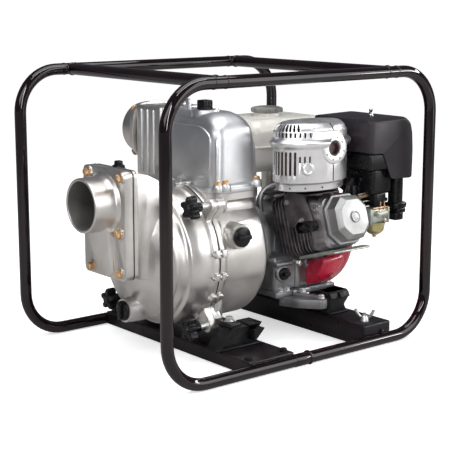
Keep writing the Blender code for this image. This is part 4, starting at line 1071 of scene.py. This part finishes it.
def build_muffler():
    skin = [(SHIELD_FOOT, 83), (SHIELD_FOOT + 1, 84.5), (SHIELD_FOOT + 13, 84.5), (SHIELD_FOOT + 15, 86),
        (SHIELD_FOOT + 19, 91.8), (430, 91.8), (433, 93.2), (437, 98), (442, 100.4), (446, 100),
        (450, 94.6), (454, 91.8), (467, 91.4), (469, 89), (470, 88.6), (477, 85), (483, 78), (486, 70),
        (486.3, 64), (484.6, 61), (484.4, 40)]
    shell = loft([oval(a, a - 33, z) for z, a in skin])
    hollow = loft([oval(a, b, z) for z, a, b in ((SHIELD_FOOT - 5, 80, 50), (SHIELD_FOOT + 16, 80, 50),
        (SHIELD_FOOT + 20, 87, 55), (466, 87, 55), (474, 82, 49), (480, 73, 40), (482, 58, 25))])

    def slots(first, step, count, z, half_high, half_wide=2.5, depth=0.0, lean=0.0):
        """A row of upright slots round the shield. The angles are in degrees."""
        row = []
        for k in range(count):
            point, out = on_shield(radians(first + step * k), z, depth)
            turn = facing(point, out) @ Matrix.Rotation(radians(lean), 4, "X")
            hole_shape = block((-half_wide, -9, -half_high), (half_wide, 9, half_high), half_wide * 0.9, 3)
            row.append(placed(hole_shape, turn))
        return row
    groups = [slots(150.5, 8.2, 9, 402, 25) + slots(4, 12.5, 11, 402, 25),
        slots(152, 8.0, 12, 461.5, 5.6, 2.2) + slots(4, 12.5, 11, 461.5, 5.6, 2.2),
        slots(152, 7.6, 10, 477, 7.5, 2.3, 8, -32), slots(224, 7.6, 3, 411, 7.0, 2.0)]
    hole, way = vec(121, -205, 431), vec(-0.06, -1.0, 0.04).normalized()
    piece("slotted_shield", shell, "shield_steel", ["muffler_shield"],
        cut=[hollow, rod(hole - way * 20, hole + way * 20, 22, 48),
        *[joined(*group) for group in groups]], bevel=0.5, angle=44)
    plate = [(-9, 15), (-9, 31), (1.5, 33), (4.0, 32), (5.2, 25), (5.0, 17), (1.5, 15), (-8, 15)]
    piece("outlet_ring", turned(plate, 72, hole, way, 0.8), "shield_steel")
    screws = []
    for k in range(8):
        angle = tau * (k + 0.35) / 8
        spot = placed_on(hole, way, cos(angle) * 24, sin(angle) * 24, 5.0)
        screws.append(turned([(-1, 0), (-1, 2.0), (0.9, 1.7)], 14, spot, way))
    piece("outlet_screws", screws, "muffler_steel")
    pipe = [(-30, 11.5), (-30, 14.2), (2.0, 14.2), (2.0, 12.0)]
    piece("outlet_pipe", turned(pipe, 48, hole, way, 0.4), "muffler_steel")
    piece("outlet_screen", turned([(-7, 0), (-7, 12), (-5.6, 12), (-5.2, 6)], 40, hole, way),
        "muffler_steel")
    point, out = on_shield(radians(236), 391)
    boss = turned([(-2, 0), (-2, 13.5), (1.4, 13.5), (3.4, 11), (3.4, 8), (1.8, 6.6), (2.2, 3)], 48,
        point, out, 0.7)
    piece("shield_boss", boss, "shield_steel")
    seam = [tube([on_shield(radians(278), z, d)[0] for z, d in ((363, 1.5), (380, 1.6), (392, 1.6),
        (399, 1.6))], 1.5, 10),
        tube([on_shield(radians(279), z, d)[0] for z, d in ((464, 2), (470, 4.5), (477, 8), (483, 15))],
        1.5, 10)]
    screws = seam[:]
    for degrees in (205, 233, 262, 300):
        point, out = on_shield(radians(degrees), SHIELD_FOOT + 7, 8.0)
        screws.append(turned([(0, 0), (0, 1.8), (1.2, 1.5)], 16, point, out, 0.3))
    piece("shield_screws", screws, "muffler_steel")
    body = loft([oval(a, b, z) for z, a, b in ((SHIELD_FOOT + 6, 70, 40), (SHIELD_FOOT + 12, 79, 49),
        (464, 79, 49), (473, 68, 38))])
    piece("muffler_can", body, "muffler_steel", ["muffler"])
    pipe_route = smooth_route([(150, -150, 352), (150, -158, 330), (146, -170, 312), (142, -176, 300)], 6)
    piece("exhaust_elbow", tube(pipe_route, 13, 24), "muffler_steel")
    stay = [block((60, -196, 334), (150, -120, 338), 2, 2), block((16, -120, 330), (60, -100, 336), 2, 2)]
    piece("muffler_stay", stay, "rail_paint", bevel=0.5)


def placed_on(point, way, u, v, lift):
    """A point u across and v up on a face that looks along way."""
    across = way.cross(Z_AXIS).normalized()
    return point + across * u + across.cross(way) * v + way * lift


def facing(point, out):
    """A frame whose Y runs along an outward direction and whose Z is up."""
    side = out.cross(Z_AXIS).normalized()
    turn = Matrix((side, out, side.cross(out))).transposed().to_4x4()
    return Matrix.Translation(point) @ turn


def build_cooling():
    x0, x1, r = 206.0, 289.7, 128.0
    shell = [(x0, r - 3), (x0, r), (x1 - 16, r), (x1 - 5, r - 4), (x1, r - 13), (x1, 72), (x1 - 2, 70),
        (x1 - 4, 72), (x1 - 4, r - 13), (x1 - 8, r - 7), (x1 - 16, r - 3)]
    duct = moved(stacked([(70, 83, 52, 8), (160, 83, 52, 8)], 4), (8, 0, 0))
    inner = moved(stacked([(60, 79, 48, 6), (200, 79, 48, 6)], 4), (8, 0, 0))
    side_cut = block((0, -400, 0), (x0, 400, 500))
    piece("cooling_shroud", on_axis(shell, 112, 2.0), "shroud_red", ["fan_shroud"])
    piece("cooling_duct", duct, "shroud_red",
        cut=[inner, side_cut, on_axis([(180, 0), (180, r - 3.2), (300, r - 3.2)], 96)], bevel=1.5)
    flap = slab([(-104, 168), (-150, 186), (-158, 176), (-142, 142), (-112, 116), (-96, 122)], 8, 4, 142,
        207, "X")
    piece("shroud_apron", flap, "shroud_red",
        cut=[slab([(-100, 162), (-146, 180), (-152, 172), (-138, 144), (-112, 120), (-100, 126)], 6, 4,
        146, 200, "X")], bevel=1.5)
    y, z = AXIS_Y, AXIS_Z
    dish = [(290.3, 0), (290.3, 96), (300, 96), (313, 91), (326, 72), (331, 52), (332, 26)]
    cuts = []
    for k in range(18):
        spin = Matrix.Translation((0, y, z)) @ Matrix.Rotation(tau * (k + 0.5) / 18, 4, "X")
        cuts.append(placed(block((300, -3.2, 46), (345, 3.2, 80), 3.0, 3), spin))
    piece("recoil_dish", on_axis(dish, 112, 3.0), "shroud_red", ["recoil_housing"],
        cut=[on_axis([(285, 0), (285, 90), (309, 88), (321, 70), (326, 50), (327, 24)], 96),
        joined(*cuts), rod((306, 60, z + 48), (306, 140, z + 48), 6, 32)], bevel=0.8)
    spots = [vec(297, y + BOLT_CIRCLE * cos(angle), z + BOLT_CIRCLE * sin(angle))
        for angle in (radians(45 + 90 * k) for k in range(4))]
    hub = [turned([(328, 0), (328, 22), (333.5, 20), (334.5, 14)], 48, (0, y, z), X_AXIS, 1.2)]
    hub += [turned([(-7, 0), (-7, 11), (0, 10), (2, 8)], 32, spot, X_AXIS, 1) for spot in spots]
    piece("recoil_hub", hub, "shroud_red", bevel=0.4)
    bolt_piece("recoil_bolts", "steel", [(299, spot.y, spot.z) for spot in spots], X_AXIS, 9, 5, 7)


def build_starter():
    place = vec(306, 108, AXIS_Z + 48)
    handle = []
    for z, a, b in ((-38, 3, 4), (-36, 7, 8), (-28, 9, 10.5), (0, 9.2, 11), (28, 9, 10.5), (36, 7, 8),
            (38, 3, 4)):
        handle.append([(place.x + a * c, place.y + 23 + b * s, place.z + z) for c, s in circle(28)])
    grip = loft(handle)
    neck = turned([(0.3, 0), (0.3, 7), (6, 8), (16, 11)], 32, place, Y_AXIS, 1)
    piece("pull_handle", [grip, neck], "black_plastic", own="starter_grip")
    rope = tube([(place.x, 74 + k * 4.3, place.z) for k in range(12)], 2.4, 12)
    line = piece_loose("starter_rope", rope, "filter_foam")
    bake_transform(line)


def piece_loose(name, shape, finish):
    """A visible piece that isn't tied to one body."""
    made = raw(name, shape)
    made.data.materials.append(MATERIALS[finish])
    made.data.shade_smooth()
    return made


def lid_shape(outline, low, high, corner):
    """The outline pushed along Y, drawn in towards its middle where it nears either end."""
    middle = vec((low.x + high.x) / 2, (low.z + high.z) / 2)
    steps, rows = 6, []
    for k in range(2 * steps + 2):
        near = k <= steps
        angle = radians(90 * (k if near else 2 * steps + 1 - k) / steps)
        inset = corner * (1 - sin(angle)) * (1.0 if near else 0.35)
        y = low.y + corner * (1 - cos(angle)) if near else high.y - corner * (1 - cos(angle))
        ring = []
        for a, b in outline:
            u = 1 - inset * 0.80 / (high.x - middle.x)
            v = 1 - inset * 0.36 / (high.z - middle.y) if b > 430 else 1.0
            ring.append((middle.x + (a - middle.x) * u, y, middle.y + (b - middle.y) * v))
        rows.append(ring)
    return loft(rows)


def build_cleaner():
    low, high = vec(212, -222, 350), vec(354, -45, 485)
    split = 411.0
    outline = [(low.x, split), (low.x + 38, split), (low.x + 68, low.z + 3), (high.x - 1, low.z),
        (high.x, split), (high.x - 3, 450), (high.x - 9, 472), (high.x - 26, high.z), (low.x, high.z - 2)]
    outline = soften(outline, 7, 4, True)
    inside = [(low.x + 3, 300), (high.x - 4, 300), (high.x - 3.5, split), (high.x - 7, 449),
        (high.x - 15, 469), (high.x - 30, high.z - 4), (low.x + 3, high.z - 5)]
    stud = vec(286, -150, 0)
    shape = lid_shape(outline, low, high, 16.0)
    piece("cleaner_lid", shape, "cleaner_plastic", own="air_cleaner_cover",
        cut=[lid_shape(inside, low + vec(3, 3, 3), high - vec(3, 3, 3), 14.0),
        through(stud, "Z", 450, 500, 4.6, 32)])
    tray = block((low.x + 3.5, low.y + 3.5, 374), (high.x - 4.5, high.y - 3.5, split - 0.3), 6, 3)
    neck = [block((236, -208, 318), (300, -110, 378), 10, 4),
        block((248, -206, 290.3), (284, -180, 322), 6, 3)]
    shapes = [tray, through(stud, "Z", 405, high.z + 12, 3.5, 20), *neck,
        block((302, -213, 286), (330, -189, 378), 5, 3)]
    clamp = [block((299, -217, 283), (338, -185, 296), 4, 3),
        block((308, -218, 272), (334, -186, 284), 4, 3),
        block((304, -215, 256), (330, -188, 274), 4, 3), block((334, -206, 284), (346, -196, 292), 2, 3)]
    piece("cleaner_tray", [*shapes, *clamp], "black_plastic", ["air_cleaner_base"], bevel=0.6)
    piece("cleaner_nut", wing_nut((stud.x, stud.y, high.z + 0.4), 0.5, 0.78), "steel",
        ["air_cleaner_wing_nut"], "air_cleaner_wing_nut")


def build_fuel_system():
    c = vec(262, -192, 270)
    body = block(c - vec(27, 19, 14), c + vec(22, 19, 19), 5, 3)
    throat = turned([(-46, 0), (-46, 15), (-24, 15), (-20, 18), (20, 18), (24, 16)], 40, c, X_AXIS, 1.5)
    flanges = [block(c + vec(dx - 2.5, -22, -15), c + vec(dx + 2.5, 22, 20), 2, 2) for dx in (-32, 22)]
    bumps = [rod(c + vec(-8, -24, 6), c + vec(-8, -10, 6), 7, 24),
        rod(c + vec(10, -23, -8), c + vec(10, -10, -8), 5.5, 24),
        rod(c + vec(0, 0, 15), c + vec(0, 0, 25), 6, 24)]
    piece("carb_body", [body, throat, *flanges, *bumps], "carb_alloy", ["carburettor"], bevel=0.8)
    bowl = [(0, 0), (0, 8), (3, 14), (10, 20.4), (22, 22.4), (24.4, 22.4), (25, 24), (28.4, 24)]
    piece("fuel_bowl", turned(bowl, 64, c - vec(0, 0, 42), Z_AXIS, 2.5), "bowl_brass", ["float_bowl"])
    brass = [block(c + vec(-27, -21, 19), c + vec(22, -15, 22), 1, 2),
        hex_bolt(c - vec(0, 0, 42), -Z_AXIS, 8, 4, 5), hex_bolt(c + vec(-8, -24, 6), -Y_AXIS, 6, 3),
        hex_bolt(c + vec(10, -23, -8), -Y_AXIS, 5, 3),
        rod(c + vec(-16, -21, 12), c + vec(16, -21, 12), 1.4, 12),
        rod(c + vec(-4, -20, 16), c + vec(-4, -20, 34), 1.2, 12),
        rod(c + vec(8, -20, 16), c + vec(8, -20, 34), 1.2, 12)]
    piece("carb_screws", brass, "gold_zinc")
    v = vec(286.3, -192, 276)
    lever = [block(v + vec(0, -5, -6), v + vec(3, 5, 30), 1.4, 3),
        turned([(0.1, 0), (0.1, 8), (6, 7.4)], 28, v, X_AXIS, 0.8),
        block(v + vec(1, -5.5, 23), v + vec(10, 5.5, 31), 2, 3)]
    piece("choke_handle", lever, "black_plastic", own="choke_lever")
    t = vec(248, -212.3, 278)
    tap = [turned([(0, 0), (0, 7), (6, 6.5)], 28, t, -Y_AXIS, 0.8),
        block(t + vec(-5, -10, -4), t + vec(26, -3, 4), 2, 3)]
    piece("fuel_tap", tap, "carb_alloy", own="fuel_valve_lever")
    hose = smooth_route([(150, 4, 352), (168, -30, 344), (206, -66, 338), (226, -120, 330),
        (233, -150, 300), (238, -178, 284)], 8)
    piece("fuel_hose", tube(hose, 4.2, 16), "rubber")
    clips = [turned([(-3, 0), (-3, 5.6), (3, 5.6)], 24, hose[k], hose[k + 1] - hose[k - 1], 0.6)
        for k in (2, len(hose) - 4)]
    piece("hose_clips", clips, "steel")


def spring(start, end, radius, turns):
    """A coil between two points."""
    wire, steps = 0.9, 12
    start, end = Vector(start), Vector(end)
    along = (end - start).normalized()
    side = along.orthogonal().normalized()
    other = along.cross(side)
    count = int(turns * steps)
    route = []
    for k in range(count + 1):
        angle = tau * k / steps
        route.append(start.lerp(end, k / count) + radius * (cos(angle) * side + sin(angle) * other))
    return tube(route, wire, 6)


def build_controls():
    plates = [block((212, -170, 288), (312, -166.5, 338), 1.5, 2),
        block((212, -170, 296), (217, -150, 338), 1.5, 2),
        block((282, -172, 296), (304, -158, 330), 3, 3),
        block((224, -176, 330), (300, -150, 334), 1.5, 2), rod((226, -176, 300), (226, -160, 300), 6, 24)]
    arms = [curve([(196, -162, 318), (206, -163, 338), (222, -163, 352), (244, -162, 344),
        (262, -160, 330)], 6, 5.5, 14),
        slab([(200, 296), (262, 296), (262, 346), (238, 354), (212, 344), (198, 320)], 9, 4, -166, -158,
        "Y"), slab([(262, 300), (318, 300), (318, 352), (262, 352)], 6, 3, -158, -150, "Y"),
        rod((206, -169, 330), (206, -160, 330), 8, 28), rod((250, -169, 342), (250, -160, 342), 6, 24)]
    piece("control_arms", arms, "black_plastic", bevel=0.6)
    piece("control_plate", plates, "rail_paint", ["control_bracket"], bevel=0.5)
    v = vec(236, -174, 322)
    lever = [block(v + vec(-7, 0, -8), v + vec(7, 3, 34), 1.4, 3),
        block(v + vec(-10, -8, 24), v + vec(10, 2, 34), 3, 3)]
    piece("throttle_handle", lever, "black_plastic", own="throttle_lever")
    links = [curve([(222, -178, 318), (250, -186, 322), (286, -184, 316), (300, -172, 306)], 6, 1.3,
        8), curve([(216, -180, 300), (240, -188, 304), (270, -190, 300), (292, -180, 296)], 6, 1.2, 8),
        rod((292, -182, 292), (292, -182, 330), 2.2, 12)]
    piece("control_rods", links, "steel")
    coils = [spring((222, -180, 312), (258, -182, 316), 3.2, 11),
        spring((262, -184, 312), (288, -182, 308), 2.6, 9)]
    piece("control_springs", coils, "gold_zinc")
    arm = slab([(280, 300), (300, 300), (304, 340), (292, 352), (284, 336)], 4, 3, -180, -178, "Y")
    small = [hex_bolt((226, -176, 300), -Y_AXIS, 9, 4, 6),
        hex_bolt((292, -180, 340), -Y_AXIS, 8, 4, 5.5), hex_bolt((300, -172, 324), -Y_AXIS, 8, 4)]
    piece("governor_arm", [arm, *small], "steel", bevel=0.4)
    switch = vec(290, -35, 300)
    knob = [turned([(0, 0), (0, 8), (6, 7.4)], 32, switch, X_AXIS, 0.8),
        block(switch + vec(4, -2.5, -8), switch + vec(12, 2.5, 8), 1.6, 3)]
    piece("switch_knob", knob, "black_plastic", own="engine_switch")
    plug_seat = CRANK + BORE_AXIS * 198.0 - vec(50, 0, 0)
    tip = plug_seat - vec(24, 0, 0)
    boot = [turned([(0, 9), (0, 11.4), (22, 12.6), (46, 12.4)], 36, plug_seat, -X_AXIS, 2),
        turned([(0, 0), (0, 8.6), (18, 8), (27, 5)], 28, tip - vec(12, 0, 0), -Y_AXIS, 1.5)]
    piece("plug_boot", boot, "black_plastic", own="spark_plug_cap")


def build_tank():
    low, high = vec(85, 12, 352), vec(325, 200, 470)
    neck = vec(205, 105, 478)
    seam = (low.z + high.z) / 2
    body = block(low, high, 30, 7)
    lip = slab([(low.x - 5, low.y - 5), (high.x + 5, low.y - 5), (high.x + 5, high.y + 5),
        (low.x - 5, high.y + 5)], 50, 7, seam - 2.2, seam + 2.2, "Z")
    seat = turned([(-16, 0), (-16, 40), (-10, 36), (-6, 31), (0, 30)], 64, neck, Z_AXIS, 2)
    shapes = [body, lip, seat] + [block((x, y, 276 + GAP), (x + 18, y + 22, 366), 5, 3)
        for x in (95, 180) for y in (30, 76)]
    piece("tank_shell", shapes, "tank_white", ["fuel_tank"], bevel=0.8)
    outline = []
    for k, (c, s) in enumerate(circle(120)):
        reach = 35.6 if k % 10 < 6 else 33.2
        outline.append((reach * c, reach * s))
    rings = [[(neck.x + u * f, neck.y + v * f, neck.z + h) for u, v in outline]
        for h, f in ((0.4, 1.0), (2, 1.05), (9, 1.05), (10.5, 1.0))]
    dome = turned([(9, 0), (9, 35.5), (11.5, 33), (13.2, 24)], 64, neck, Z_AXIS, 1.5)
    piece("tank_cap", [loft(rings), dome], "cap_plastic", own="fuel_cap")


def build_engine():
    build_cylinder()
    build_crankcase()
    build_muffler()
    build_cooling()
    build_starter()
    build_cleaner()
    build_fuel_system()
    build_controls()
    build_tank()


repaint()
build_camera()
build_stage()
build_frame()
build_rails()
build_pump()
build_engine()
